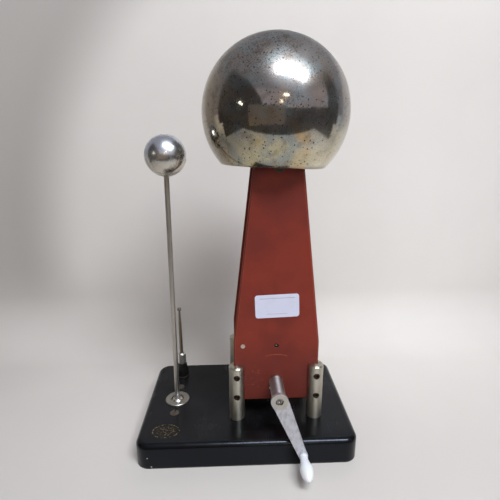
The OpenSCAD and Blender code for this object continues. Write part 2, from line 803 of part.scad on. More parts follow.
// Comb outline from x = 0 to its points at x = l, as wide as the belt.
module comb_outline(l) polygon(concat(
    [[0, -belt_w / 2]],
    [for (k = [0:comb_teeth - 1]) each [
        [l - comb_tooth_l, -belt_w / 2 + k * belt_w / comb_teeth],
        [l, -belt_w / 2 + (k + 0.5) * belt_w / comb_teeth]]],
    [[l - comb_tooth_l, belt_w / 2], [0, belt_w / 2]]));

module lower_comb() color([0.78, 0.62, 0.3]) {
    reach = comb_x - comb_r - belt_r_low - belt_t - comb_gap;
    difference() {
        union() {
            y_bar(tower_x - comb_x, lower_z, comb_r + comb_wall,
                belt_middle - belt_w / 2, belt_middle + belt_w / 2);
            translate([tower_x - comb_x + comb_r, belt_middle, lower_z - comb_t / 2])
                linear_extrude(comb_t) comb_outline(reach);
        }
        y_bar(tower_x - comb_x, lower_z, comb_r, -face_y, face_y);
    }
}

module comb_lead() color([0.72, 0.5, 0.3]) difference() {
    union() {
        translate([tower_x - comb_x - lead_block / 2, lead_y - lead_w / 2, lower_z - lead_block / 2])
            cube([lead_block, lead_w, lead_block]);
        translate([tower_x - comb_x, lead_y, lead_bottom])
            cylinder(r = lead_r, h = lower_z - lead_block / 2 + bite - lead_bottom);
    }
    y_bar(tower_x - comb_x, lower_z, comb_r, -face_y, face_y);
}

module lead_nut() color([0.7, 0.6, 0.35]) translate([tower_x - comb_x, lead_y, 0]) difference() {
    translate([0, 0, cavity_top - strap_t - lead_nut_h]) linear_extrude(lead_nut_h) hexagon(lead_nut_af);
    translate([0, 0, lead_bottom]) cylinder(r = lead_r, h = lead_nut_h + 2 * lead_proud);
}

// The strap's plan: from the terminal to the rod's rear screw, then across to the comb's lead.
module strap_plan(grow) {
    w = strap_w + 2 * grow;
    translate([-terminal_x - w / 2, lead_y - w / 2]) square([w, terminal_y - lead_y + w]);
    translate([-terminal_x - w / 2, lead_y - w / 2]) square([terminal_x + tower_x - comb_x + w, w]);
}

module earth_strap() color([0.72, 0.42, 0.25]) difference() {
    translate([0, 0, cavity_top - strap_t]) linear_extrude(strap_t) strap_plan(0);
    at_foot_screws() foot_screw_form(cut);
    at_terminal() cylinder(r = stud_term_r, h = base_h);
    translate([tower_x - comb_x, lead_y, 0]) cylinder(r = lead_r, h = base_h);
}

module upper_comb() color([0.78, 0.62, 0.3]) {
    drop = plate_top - bridge_h - upper_z;
    hang = belt_r_high + belt_t + comb_gap;
    translate([tower_x, belt_middle, 0]) {
        translate([bridge_w / 2, -belt_w / 2, plate_top - bridge_h]) cube([comb_t, belt_w, bridge_h]);
        translate([bridge_w / 2, -belt_w / 2, plate_top - bridge_h])
            cube([upper_comb_arm, belt_w, comb_t]);
        translate([bridge_w / 2 + upper_comb_arm - comb_t, -belt_w / 2, upper_z - comb_t])
            cube([comb_t, belt_w, drop + 2 * comb_t]);
        translate([bridge_w / 2 + upper_comb_arm, 0, upper_z]) rotate([0, 180, 0])
            linear_extrude(comb_t) comb_outline(bridge_w / 2 + upper_comb_arm - hang);
    }
}

// ---- Crank ----

// Puts children, drawn with the shaft on the Z axis and the arm along -Y, in the crank's place.
module on_crank() translate([tower_x, 0, crank_z]) rotate([0, -crank_angle, 0]) children();

module crank_sleeve() color([0.5, 0.47, 0.48]) on_crank() difference() {
    y_bar(0, 0, sleeve_r, -sleeve_front, -sleeve_back);
    y_bar(0, 0, crank_r_shaft, -shaft_front, -face_y + cut);
    y_bar(0, 0, crank_recess_r, -sleeve_front - cut, -crank_seat);
    y_bar(0, 0, crank_screw_r, -sleeve_front - cut, -face_y);
    grub_bar(crank_r_shaft - bite, sleeve_r + cut);
}

// The grub screw enters the sleeve from the left, a little below the axis.
module grub_bar(from, to) rotate([0, crank_angle - grub_angle, 0])
    translate([0, -sleeve_back - grub_place, from]) cylinder(r = grub_r, h = to - from);

module crank_grub_screw() color([0.75, 0.75, 0.75]) on_crank() grub_bar(crank_r_shaft, sleeve_r + grub_proud);

// The flat of the arm at a run u from the shaft, as a half width.
function arm_half(u) = arm_boss_d / 2 + (arm_eye_d - arm_boss_d) / 2 * u / crank_r;

module crank_arm() color([0.66, 0.66, 0.67]) on_crank() difference() {
    union() {
        // Upper end, flat against the sleeve
        slab(-arm_face, arm_t) {
            circle(d = arm_boss_d);
            polygon([[-arm_boss_d / 2, 0], [arm_boss_d / 2, 0],
                [arm_half(arm_bend), -arm_bend], [-arm_half(arm_bend), -arm_bend]]);
        }
        // Sloping run, and the filled outsides of its two bends
        translate([0, -arm_face, -arm_bend]) rotate([-arm_pitch, 0, 0]) {
            slab(0, arm_t) polygon([
                [-arm_half(arm_bend), 0], [arm_half(arm_bend), 0],
                [arm_eye_d / 2, -arm_run / cos(arm_pitch)], [-arm_eye_d / 2, -arm_run / cos(arm_pitch)]]);
            bend_fill(arm_half(arm_bend));
        }
        translate([0, -eye_face + arm_t, -arm_bend - arm_run]) rotate([180, 0, 0]) bend_fill(arm_eye_d / 2);
        // Lower end, flat again
        slab(-eye_face, arm_t) {
            translate([0, -crank_r]) circle(d = arm_eye_d);
            translate([-arm_eye_d / 2, -crank_r]) square([arm_eye_d, arm_flat_end]);
        }
    }
    y_bar(0, 0, crank_recess_r, -arm_face - cut, -sleeve_front + cut);
    y_bar(0, -crank_r, spindle_r, -eye_face - cut, -eye_face + arm_t + cut);
}

// A sector of a bar along X that fills the outside of a bend of the arm.
module bend_fill(half) translate([-half, 0, 0]) rotate([0, 90, 0])
    rotate([0, 0, 90]) bar_sector(arm_t, arm_pitch, 2 * half);

module bar_sector(r, a, l) linear_extrude(l) intersection() {
    circle(r);
    polygon([[0, 0], [2 * r, 0], [2 * r * cos(a), 2 * r * sin(a)]]);
}

module crank_screw() color([0.4, 0.4, 0.42]) on_crank() difference() {
    union() {
        y_bar(0, 0, crank_head_r, -arm_face - crank_head_proud, -crank_seat);
        y_bar(0, 0, crank_screw_r, -crank_seat - bite, -shaft_front + crank_screw_grip);
    }
    slab(-arm_face - crank_head_proud - cut, crank_socket_depth + cut) hexagon(crank_socket_af);
}

module knob_spindle() color([0.6, 0.6, 0.6]) on_crank() {
    y_bar(0, -crank_r, spindle_r, -knob_front - knob_bore_l, -eye_face + arm_t);
    y_bar(0, -crank_r, spindle_head_r, -eye_face + arm_t, -eye_face + arm_t + spindle_head_h);
    y_bar(0, -crank_r, knob_keep_r, -knob_front - knob_bore_l - knob_keep_h, -knob_front - knob_bore_l);
}

// Half width of the handle at s, from 0 at its neck to 1 at its tip: a neck that draws in a little,
// a smooth swell to the thickest part, and a rounded tip.
function knob_half(s) =
    let (waist = knob_neck_d / 2 - knob_neck_dip, flare = knob_belly - knob_neck_end)
    s < knob_neck_end ? knob_neck_d / 2 - knob_neck_dip * sin(s / knob_neck_end * 90) :
    s < knob_belly ? waist + (knob_d / 2 - waist) * (1 - cos((s - knob_neck_end) / flare * 180)) / 2 :
    knob_d / 2 * sqrt(max(0, 1 - pow((s - knob_belly) / (1 - knob_belly), knob_tip_power)));

module crank_knob() color([0.93, 0.95, 0.96]) on_crank() difference() {
    translate([0, -knob_front, -crank_r]) rotate([90, 0, 0]) rotate_extrude()
        polygon(concat([[0, 0]],
            [for (i = [0:knob_steps]) [knob_half(i / knob_steps), knob_l * i / knob_steps]]));
    y_bar(0, -crank_r, spindle_r + run_gap, -knob_front - knob_bore_l, -knob_front + cut);
    y_bar(0, -crank_r, knob_keep_r + slip_gap, -knob_front - knob_bore_l - knob_keep_h - end_gap,
        -knob_front - knob_bore_l + end_gap);
}

// ---- Dome ----

// The shell's section from its top down to where the rolled rim begins
module shell_section() {
    far = 3 * dome_r;
    difference() {
        circle(dome_r);
        circle(dome_in);
        translate([-far, -far]) square([far, 2 * far]);
        polygon([[0, 0], far * [cos(lip_start), sin(lip_start)], [far * cos(lip_start), -far], [0, -far]]);
    }
}

// The rim's section, rolled inwards from the shell
module lip_section() {
    far = 3 * dome_r;
    translate([lip_x, lip_z]) difference() {
        circle(lip_r);
        circle(lip_r - dome_wall);
        rotate(lip_start) translate([-far, 0]) square([2 * far, far]);
        rotate(lip_end + 180) translate([-far, 0]) square([far, far]);
    }
}

module dome() color([0.55, 0.52, 0.47]) translate([dome_x, 0, dome_z]) rotate([0, dome_tilt, 0]) {
    rotate_extrude() shell_section();
    rotate_extrude() lip_section();
}

// ---- Discharge rod ----

module on_rod() translate([-rod_x, rod_y, joint_z]) rotate([0, rod_lean, 0]) children();

// A countersunk screw from the base's top, or the hole for it when it is made taller by extra.
module foot_screw_form(extra) {
    head = foot_screw_d / 2;
    if (extra > 0)
        translate([0, 0, base_h]) cylinder(r = head, h = extra);
    tip_z = socket_z + foot_screw_end;
    translate([0, 0, base_h - head + foot_screw_r])
        cylinder(r1 = foot_screw_r, r2 = head, h = head - foot_screw_r);
    translate([0, 0, tip_z]) cylinder(r = foot_screw_r, h = base_h - tip_z);
}

module at_foot_screws() for (s = [-1, 1]) translate([-rod_x, rod_y + s * foot_screw_y, 0]) children();

module foot_screws() color([0.35, 0.3, 0.25])
    for (s = [-1, 1]) translate([-rod_x, rod_y + s * foot_screw_y, 0]) difference() {
        foot_screw_form(0);
        rotate(s > 0 ? foot_slot_rear : foot_slot_front)
            translate([-foot_screw_d, -foot_slot / 2, base_h - foot_slot_depth])
                cube([2 * foot_screw_d, foot_slot, foot_slot_depth + cut]);
    }

module joint_socket() color([0.5, 0.5, 0.5]) difference() {
    translate([-rod_x - socket_w / 2, rod_y - socket_l / 2, socket_z])
        cube([socket_w, socket_l, cavity_top - socket_z]);
    translate([-rod_x, rod_y, joint_z]) sphere(joint_r + run_gap);
    translate([-rod_x, rod_y, joint_z]) cylinder(r = joint_r + run_gap, h = base_h);
    at_foot_screws() foot_screw_form(0);
    translate([0, 0, cavity_top - strap_t]) linear_extrude(strap_t + cut) strap_plan(slip_gap);
}

module rod_bezel() color([0.6, 0.6, 0.58]) translate([-rod_x, rod_y, base_h]) difference() {
    union() {
        cylinder(d = bezel_d, h = bezel_t / 2);
        translate([0, 0, bezel_t / 2]) cylinder(d1 = bezel_d, d2 = bezel_d - bezel_t, h = bezel_t / 2);
    }
    translate([0, 0, -cut]) cylinder(d = bezel_hole_d, h = bezel_t + 2 * cut);
}

module joint_ball() color([0.7, 0.7, 0.72]) on_rod() difference() {
    sphere(joint_r);
    cylinder(r = rod_r, h = 2 * joint_r);
}

module rod_ferrule() color([0.75, 0.75, 0.78]) on_rod() difference() {
    union() {
        cylinder(d = ferrule_d, h = ferrule_rise + ferrule_h - ferrule_crown);
        translate([0, 0, ferrule_rise + ferrule_h - ferrule_crown])
            cylinder(r1 = ferrule_d / 2, r2 = ferrule_d / 2 - ferrule_taper, h = ferrule_crown);
    }
    sphere(joint_r);
    cylinder(r = rod_r, h = 4 * joint_r);
}

module discharge_rod() color([0.55, 0.53, 0.48]) on_rod() cylinder(r = rod_r, h = ball_rise);

module discharge_ball() color([0.75, 0.75, 0.77]) on_rod() difference() {
    translate([0, 0, ball_rise]) sphere(ball_r);
    cylinder(r = rod_r, h = ball_rise);
}

// ---- Earth terminal ----

module at_terminal() translate([-terminal_x, terminal_y, 0]) children();

module terminal_stud() color([0.7, 0.6, 0.35]) at_terminal() difference() {
    translate([0, 0, stud_bottom]) cylinder(r = stud_term_r, h = stud_top - stud_bottom);
    translate([0, 0, stud_top - tail_l]) cylinder(r = tail_r + run_gap, h = tail_l + cut);
}

module terminal_washer() color([0.35, 0.25, 0.2]) at_terminal() difference() {
    translate([0, 0, base_h]) cylinder(r = terminal_washer_r, h = terminal_washer_t);
    translate([0, 0, base_h - cut]) cylinder(r = stud_term_r, h = terminal_washer_t + 2 * cut);
}

module terminal_nut() color([0.03, 0.03, 0.03]) at_terminal() difference() {
    translate([0, 0, nut_bottom]) cylinder(d1 = nut_d, d2 = nut_top_d, h = nut_h);
    translate([0, 0, nut_bottom - cut]) cylinder(r = stud_term_r + run_gap, h = nut_h + 2 * cut);
    for (k = [0:flutes - 1]) rotate(k * 360 / flutes)
        translate([nut_d / 2 + flute_r / 4, 0, nut_bottom])
            rotate([0, -atan2((nut_d - nut_top_d) / 2, nut_h), 0])
                translate([0, 0, -2 * cut]) cylinder(r = flute_r, h = nut_h + 4 * cut);
}

module terminal_lock_nut() color([0.6, 0.6, 0.58]) at_terminal() difference() {
    translate([0, 0, cavity_top - strap_t - lock_nut_h]) linear_extrude(lock_nut_h) hexagon(lock_nut_af);
    translate([0, 0, cavity_top - strap_t - lock_nut_h - cut])
        cylinder(r = stud_term_r, h = lock_nut_h + 2 * cut);
}

// Hexagonal collar with its ends turned down to a cone
module probe_collar() color([0.7, 0.7, 0.7]) at_terminal() difference() {
    corner = collar_af / 2 / cos(30) + slip_gap;
    translate([0, 0, collar_bottom]) intersection() {
        linear_extrude(collar_h) hexagon(collar_af);
        rotate_extrude() polygon([
            [0, 0], [collar_af / 2 - collar_foot[0], 0], [corner, collar_foot[1]],
            [corner, collar_h - collar_crown[1]], [collar_af / 2 - collar_crown[0], collar_h], [0, collar_h]]);
    }
    translate([0, 0, collar_bottom - cut]) cylinder(r = tail_r, h = collar_h + 2 * cut);
}

module probe_pin() color([0.35, 0.32, 0.27]) at_terminal() {
    tail_bottom = stud_top - tail_l + bite;
    translate([0, 0, tail_bottom]) cylinder(r = tail_r, h = collar_top - tail_bottom + bite);
    translate([0, 0, collar_top]) rotate_extrude() polygon([
        [0, 0], [probe_d / 2, 0], [probe_d / 2, pin_foot_h], [pin_mid_d / 2, pin_mid_h],
        [pin_tip_d / 2, probe_l - bead_d / 2], [0, probe_l - bead_d / 2]]);
    translate([0, 0, collar_top + probe_l - bead_d / 2]) sphere(d = bead_d);
}

base_pan();
base_cover();
base_felt();
cover_screws();
post_front_left();
post_front_right();
post_rear_left();
post_rear_right();
post_screws();
front_plate();
rear_plate();
plate_screws();
plain_label();
tie_bar();
tie_bar_screws();
front_bush();
rear_bush();
crank_shaft();
crank_gear();
shaft_collar();
crank_sleeve();
crank_arm();
crank_screw();
crank_grub_screw();
knob_spindle();
crank_knob();
lower_axle();
lower_roller();
pinion_gear();
upper_axle();
upper_roller();
drive_belt();
lower_comb_rod();
lower_comb();
comb_lead();
lead_nut();
upper_comb();
top_bridge();
bridge_screws();
dome_stud();
dome_stud_nut();
dome_seat();
dome();
joint_socket();
foot_screws();
rod_bezel();
joint_ball();
rod_ferrule();
discharge_rod();
discharge_ball();
terminal_stud();
terminal_washer();
terminal_nut();
terminal_lock_nut();
earth_strap();
probe_collar();
probe_pin();
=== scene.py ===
"""Finishes, detailed pieces, studio and camera for a hand-cranked belt generator."""
import json
import math

import bmesh
import bpy
from mathutils import Matrix, Vector

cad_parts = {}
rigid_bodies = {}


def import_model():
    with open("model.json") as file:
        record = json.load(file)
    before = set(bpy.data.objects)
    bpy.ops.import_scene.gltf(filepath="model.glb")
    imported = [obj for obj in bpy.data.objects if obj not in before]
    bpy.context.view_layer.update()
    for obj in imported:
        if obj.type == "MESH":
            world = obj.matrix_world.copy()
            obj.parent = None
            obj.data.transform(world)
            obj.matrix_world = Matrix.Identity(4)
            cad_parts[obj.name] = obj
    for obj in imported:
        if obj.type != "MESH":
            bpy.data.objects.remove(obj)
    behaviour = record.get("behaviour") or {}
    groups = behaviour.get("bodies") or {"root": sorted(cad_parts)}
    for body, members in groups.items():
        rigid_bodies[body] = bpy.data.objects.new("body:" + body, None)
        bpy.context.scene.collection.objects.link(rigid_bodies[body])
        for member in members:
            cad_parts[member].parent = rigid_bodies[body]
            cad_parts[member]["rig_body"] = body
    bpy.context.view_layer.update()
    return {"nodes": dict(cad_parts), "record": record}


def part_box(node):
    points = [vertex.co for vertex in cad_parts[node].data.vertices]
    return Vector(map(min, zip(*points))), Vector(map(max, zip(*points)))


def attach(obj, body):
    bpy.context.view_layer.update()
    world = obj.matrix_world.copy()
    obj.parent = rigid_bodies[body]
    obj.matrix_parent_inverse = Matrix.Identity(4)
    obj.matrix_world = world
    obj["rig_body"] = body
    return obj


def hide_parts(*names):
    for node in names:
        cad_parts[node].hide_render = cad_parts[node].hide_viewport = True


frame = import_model()
NODES = frame["nodes"]
SLOTS = {part["node"]: part["material_slot"] for part in frame["record"]["subparts"]}

MM = 0.001  # the scene is in metres, and the sizes below are in millimetres


def box_mm(node):
    """The node's lowest and highest corners in millimetres."""
    low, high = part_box(node)
    return low / MM, high / MM


def middle(node):
    """The middle of the node's box in millimetres."""
    low, high = box_mm(node)
    return (low + high) / 2


def srgb(red, green, blue):
    """A colour given as 0 to 255 on screen, as the linear colour that shaders use."""
    return (*[((c / 255 + 0.055) / 1.055) ** 2.4 if c > 10 else c / 255 / 12.92
              for c in (red, green, blue)], 1)


def added(name, data):
    """A new object in the scene."""
    made = bpy.data.objects.new(name, data)
    bpy.context.scene.collection.objects.link(made)
    return made


# ---- Materials: a small kit for building node trees ----

class Finish:
    """One procedural material. Sizes are in millimetres, in the object's own frame."""

    def __init__(self, name, colour, roughness, **sockets):
        self.material = bpy.data.materials.new(name)
        self.material.use_nodes = True
        self.tree = self.material.node_tree
        self.shader = self.tree.nodes["Principled BSDF"]
        self.place = self.node("TexCoord").outputs["Object"]
        self.normal = None
        self.set("Base Color", colour)
        self.set("Roughness", roughness)
        for socket, value in sockets.items():
            self.set(socket.replace("_", " "), value)

    def node(self, kind, **settings):
        """A new shader node of that kind."""
        made = self.tree.nodes.new("ShaderNode" + kind)
        for name, value in settings.items():
            setattr(made, name, value)
        return made

    def plug(self, socket, value):
        """Links a socket to the value, or sets it where the value is plain."""
        if isinstance(value, bpy.types.NodeSocket):
            self.tree.links.new(value, socket)
        else:
            socket.default_value = value

    def set(self, socket, value):
        """Gives the named socket of the surface shader its value."""
        self.plug(self.shader.inputs[socket], value)

    def layer(self, factor, colour):
        """Lays a colour over what is there, where factor nears 1."""
        socket = self.shader.inputs["Base Color"]
        below = socket.links[0].from_socket if socket.links else tuple(socket.default_value)
        self.plug(socket, self.blend(factor, below, colour))

    def surface(self, output):
        """Makes that shader the surface in place of the usual one."""
        self.plug(self.tree.nodes["Material Output"].inputs["Surface"], output)

    def shine(self, colour):
        """Makes the surface an even light of that colour, at a strength of 1."""
        light = self.node("Emission")
        self.plug(light.inputs["Color"], colour)
        self.surface(light.outputs[0])

    def math(self, operation, first, second=0.0):
        """The result of one operation on one or two values."""
        made = self.node("Math", operation=operation)
        self.plug(made.inputs[0], first)
        self.plug(made.inputs[1], second)
        return made.outputs[0]

    def product(self, first, second):
        """Two values multiplied, as where both must hold for a layer to show."""
        return self.math("MULTIPLY", first, second)

    def gap(self, first, second):
        """How far apart two values are."""
        return self.math("ABSOLUTE", self.math("SUBTRACT", first, second))

    def grid(self, size, stretch):
        """The place in units of size, and longer features along an axis with a small stretch."""
        made = self.node("Mapping")
        self.plug(made.inputs["Vector"], self.place)
        made.inputs["Scale"].default_value = [s / (size * MM) for s in stretch]
        return made.outputs["Vector"]

    def grain(self, size, stretch=(1, 1, 1), detail=3.0):
        """Soft noise, mostly from 0.3 to 0.7."""
        made = self.node("TexNoise")
        self.plug(made.inputs["Vector"], self.grid(size, stretch))
        made.inputs["Scale"].default_value = 1
        made.inputs["Detail"].default_value = detail
        return made.outputs["Fac"]

    def cells(self, size):
        """Distance to the nearest of many scattered points, from 0 to about 0.8."""
        made = self.node("TexVoronoi")
        self.plug(made.inputs["Vector"], self.grid(size, (1, 1, 1)))
        made.inputs["Scale"].default_value = 1
        return made.outputs["Distance"]

    def span(self, value, low, high, start=0.0, end=1.0):
        """Turns low to high into start to end, and holds the value outside."""
        made = self.node("MapRange", interpolation_type="SMOOTHSTEP")
        for socket, number in zip(made.inputs, (value, low, high, start, end)):
            self.plug(socket, number)
        return made.outputs[0]

    def blend(self, factor, first, second):
        """The first colour where factor is 0, and the second where it is 1."""
        made = self.node("Mix", data_type="RGBA")
        sockets = [s for s in made.inputs if s.type == "RGBA"]
        self.plug(made.inputs[0], factor)
        self.plug(sockets[0], first)
        self.plug(sockets[1], second)
        return next(s for s in made.outputs if s.type == "RGBA")

    def along(self, axis):
        """The place along X, Y or Z in millimetres."""
        made = self.node("SeparateXYZ")
        self.plug(made.inputs[0], self.place)
        return self.product(made.outputs[axis], 1 / MM)

    def away(self, point, stretch=(1, 1, 1)):
        """The distance in millimetres from a point, with each axis weighed by stretch."""
        shift = self.node("VectorMath", operation="SUBTRACT")
        self.plug(shift.inputs[0], self.place)
        shift.inputs[1].default_value = Vector(point) * MM
        weigh = self.node("VectorMath", operation="MULTIPLY")
        self.plug(weigh.inputs[0], shift.outputs[0])
        weigh.inputs[1].default_value = Vector(stretch) / MM
        length = self.node("VectorMath", operation="LENGTH")
        self.plug(length.inputs[0], weigh.outputs[0])
        return length.outputs["Value"]

    def edges(self, width):
        """Near 1 on the convex and concave edges of the piece, and 0 on its faces."""
        bevel = self.node("Bevel", samples=4)
        bevel.inputs["Radius"].default_value = width * MM
        shape = self.node("NewGeometry")
        dot = self.node("VectorMath", operation="DOT_PRODUCT")
        self.plug(dot.inputs[0], bevel.outputs["Normal"])
        self.plug(dot.inputs[1], shape.outputs["Normal"])
        return self.span(dot.outputs["Value"], 0.995, 0.9)

    def ease_edges(self, width):
        """Shades the edges as if they were rounded to width."""
        bevel = self.node("Bevel", samples=6)
        bevel.inputs["Radius"].default_value = width * MM
        self.normal = bevel.outputs["Normal"]
        self.set("Normal", self.normal)

    def turned(self, axis):
        """Spreads glints across the fine grooves that a lathe left round an axis."""
        around = self.node("Tangent", direction_type="RADIAL", axis=axis)
        self.set("Tangent", around.outputs[0])
        self.set("Anisotropic", 0.85)
        self.set("Anisotropic Rotation", 0.25)

    def bump(self, height, depth):
        """Raises the surface by height times depth, on top of what earlier calls raised."""
        made = self.node("Bump")
        made.inputs["Distance"].default_value = depth * MM
        self.plug(made.inputs["Height"], height)
        if self.normal:
            self.plug(made.inputs["Normal"], self.normal)
        self.normal = made.outputs["Normal"]
        self.set("Normal", self.normal)


# Lays of tool marks: round Z, round Y, along Z and along Y.
ROUND_Z, ROUND_Y, LENGTH_Z, LENGTH_Y = ((0.04, 0.04, 1.0), (0.04, 1.0, 0.04), (1.0, 1.0, 0.02),
                                        (1.0, 0.05, 1.0))


def metal(name, colour, dull, roughness, lay=(1, 1, 1), mark=0.3, patch=12.0, depth=0.0005,
          turned=None):
    """Worked metal: tool marks that run along the lay's small axes, dull patches, bright edges."""
    made = Finish(name, colour, roughness, Metallic=1.0)
    made.ease_edges(0.2)
    if turned:
        made.turned(turned)
    marks = made.grain(mark, lay, 2.0)
    patches = made.grain(patch, detail=5.0)
    made.layer(made.span(patches, 0.4, 0.8, 0.0, 0.9), dull)
    bright = [min(1.0, c * 1.25) for c in colour[:3]] + [1]
    made.layer(made.product(made.edges(0.25), 0.6), bright)
    rough = made.math("ADD", made.span(marks, 0.3, 0.7, roughness * 0.86, roughness * 1.14),
                      made.span(patches, 0.4, 0.8, 0.0, roughness * 0.25))
    made.set("Roughness", rough)
    made.bump(marks, depth)
    return made


OVAL_MIDDLE = (-71.5, -45.5, 22.5)  # of the plain worn ring and flecks in gold
OVAL_HALF = (12.2, 8.4)
# Place and radius of each chip in the enamel.
CHIPS = (((-90.8, -58.6, 14.7), 1.1), ((-84.5, -63.2, 10.9), 0.55), ((-81.8, -63.3, 1.8), 0.8),
         ((-93.5, -52.0, 19.5), 0.5), ((20.5, -60.8, 21.2), 0.45))


def base_enamel(name):
    """Gloss black stove enamel: faint orange peel, haze, dust, chips, a worn gold ring and a painted blue
    tint in its reflections.
    """
    # Painted reflection: the blue specular tint gives every glint on the enamel a cool colour, as a cool
    # lamp would.
    made = Finish(name, srgb(12, 12, 13), 0.1, Specular_IOR_Level=0.27,
                  Specular_Tint=(0.74, 0.82, 1.0, 1.0))
    haze = made.grain(26.0, detail=5.0)
    wipes = made.grain(5.0, (1.0, 0.12, 1.0), 4.0)
    top = box_mm("base_pan")[1].z
    clean = made.span(made.along("Z"), top - 0.2, top - 2.0)
    dull = made.product(made.span(haze, 0.4, 0.7, 0.0, 0.6), made.span(clean, 0.0, 1.0, 1.0, 0.3))
    made.layer(dull, srgb(29, 29, 31))
    dust = made.span(made.cells(1.6), 0.07, 0.03)
    dust = made.product(dust, made.span(made.grain(9.0), 0.5, 0.62))
    made.layer(made.product(dust, 0.5), srgb(120, 118, 112))
    rub = made.product(made.edges(1.2), made.span(made.grain(6.0, detail=5.0), 0.5, 0.7))
    made.layer(made.product(rub, 0.25), srgb(70, 66, 60))
    ragged = made.span(made.grain(0.9, detail=4.0), 0.2, 0.8, -0.5, 0.5)
    for point, radius in CHIPS:
        reach = made.math("ADD", made.away(point), ragged)
        made.layer(made.span(reach, radius, radius - 0.15), srgb(190, 184, 172))
    x_half, y_half = OVAL_HALF
    oval = made.away(OVAL_MIDDLE, (1 / x_half, 1 / y_half, 1.0))
    worn = made.span(made.grain(1.6, detail=5.0), 0.49, 0.6)
    gold = srgb(146, 122, 72)
    ring = made.product(made.span(made.gap(oval, 0.95), 0.06, 0.03), worn)
    made.layer(made.product(ring, 0.8), gold)
    flecks = made.product(made.span(made.grain(0.9, (0.7, 1.0, 1.0), 3.0), 0.56, 0.62),
                          made.span(oval, 0.85, 0.55))
    made.layer(made.product(flecks, 0.7), gold)
    rough = made.math("ADD", made.span(haze, 0.3, 0.75, 0.17, 0.28),
                      made.span(wipes, 0.45, 0.75, 0.0, 0.06))
    rough = made.product(rough, made.span(clean, 0.0, 1.0, 1.0, 0.62))
    made.set("Roughness", made.math("ADD", rough, made.product(dust, 0.5)))
    made.bump(made.grain(2.4, detail=1.0), 0.006)
    return made


WEAR_RADIUS, WEAR_HALF_WIDTH = 27.3, 11.0  # of the arc rubbed into the front plate round the crank's shaft
SCUFFS = (9.0, -28.0, 62.0)  # the middle of the scuffs on the front plate


def plate_red(name):
    """Matt brick-red insulating sheet, mottled, with painted shade low down, a painted shadow under the
    dome and painted edge highlights.
    """
    pale = srgb(178, 86, 50)
    made = Finish(name, srgb(136, 49, 34), 0.5, Specular_IOR_Level=0.28)
    cloud = made.grain(38.0, detail=5.0)
    fibre = made.grain(0.5, (1.0, 1.0, 0.25), 3.0)
    made.layer(made.span(cloud, 0.35, 0.68), srgb(114, 40, 30))
    made.layer(made.span(fibre, 0.3, 0.75, 0.0, 0.22), srgb(92, 36, 29))
    height = made.along("Z")
    foot, rim = box_mm("front_plate")[0].z, box_mm("dome")[0].z
    # Painted shade: darker towards the plate's foot, where the black base below sends up little light.
    made.layer(made.span(height, foot + 71.0, foot + 11.0, 0.0, 0.75), srgb(98, 38, 31))
    # Painted shadow: a dark band under the dome's rim, with a wavy lower edge.
    uneven = made.math("ADD", height, made.span(cloud, 0.3, 0.7, -6.0, 6.0))
    painted_dome_shadow = made.span(uneven, rim - 12.3, rim + 11.7)
    made.layer(made.product(painted_dome_shadow, 0.8), srgb(70, 30, 26))
    # Painted highlight: lighter edges all round, as if light caught the chamfers.
    made.layer(made.product(made.edges(0.8), 0.7), pale)
    crank = middle("crank_shaft")
    off = made.gap(made.away(crank, (1, 0, 1)), WEAR_RADIUS)
    sideways = made.gap(made.along("X"), crank.x)
    arc = made.product(made.span(off, 0.55, 0.1),
                       made.span(sideways, WEAR_HALF_WIDTH, WEAR_HALF_WIDTH - 3.0))
    arc = made.product(arc, made.span(height, crank.z, crank.z + 5.0))
    arc = made.product(arc, made.span(made.along("Y"), 0.0, -5.0))
    arc = made.product(arc, made.span(made.grain(1.6, detail=3.0), 0.3, 0.5, 0.35, 1.0))
    made.layer(made.product(arc, 0.6), srgb(182, 92, 62))
    scuffs = made.span(made.grain(1.3, (0.5, 1.0, 0.8), 6.0), 0.58, 0.68)
    scuffs = made.product(scuffs, made.span(made.away(SCUFFS), 14.0, 5.0))
    made.layer(made.product(scuffs, 0.4), pale)
    made.set("Roughness", made.span(cloud, 0.3, 0.7, 0.44, 0.58))
    made.bump(fibre, 0.01)
    made.bump(arc, -0.03)
    return made


CROWDED_PITS = (16.0, -44.0, 334.0)  # where the dome's pits are the closest together


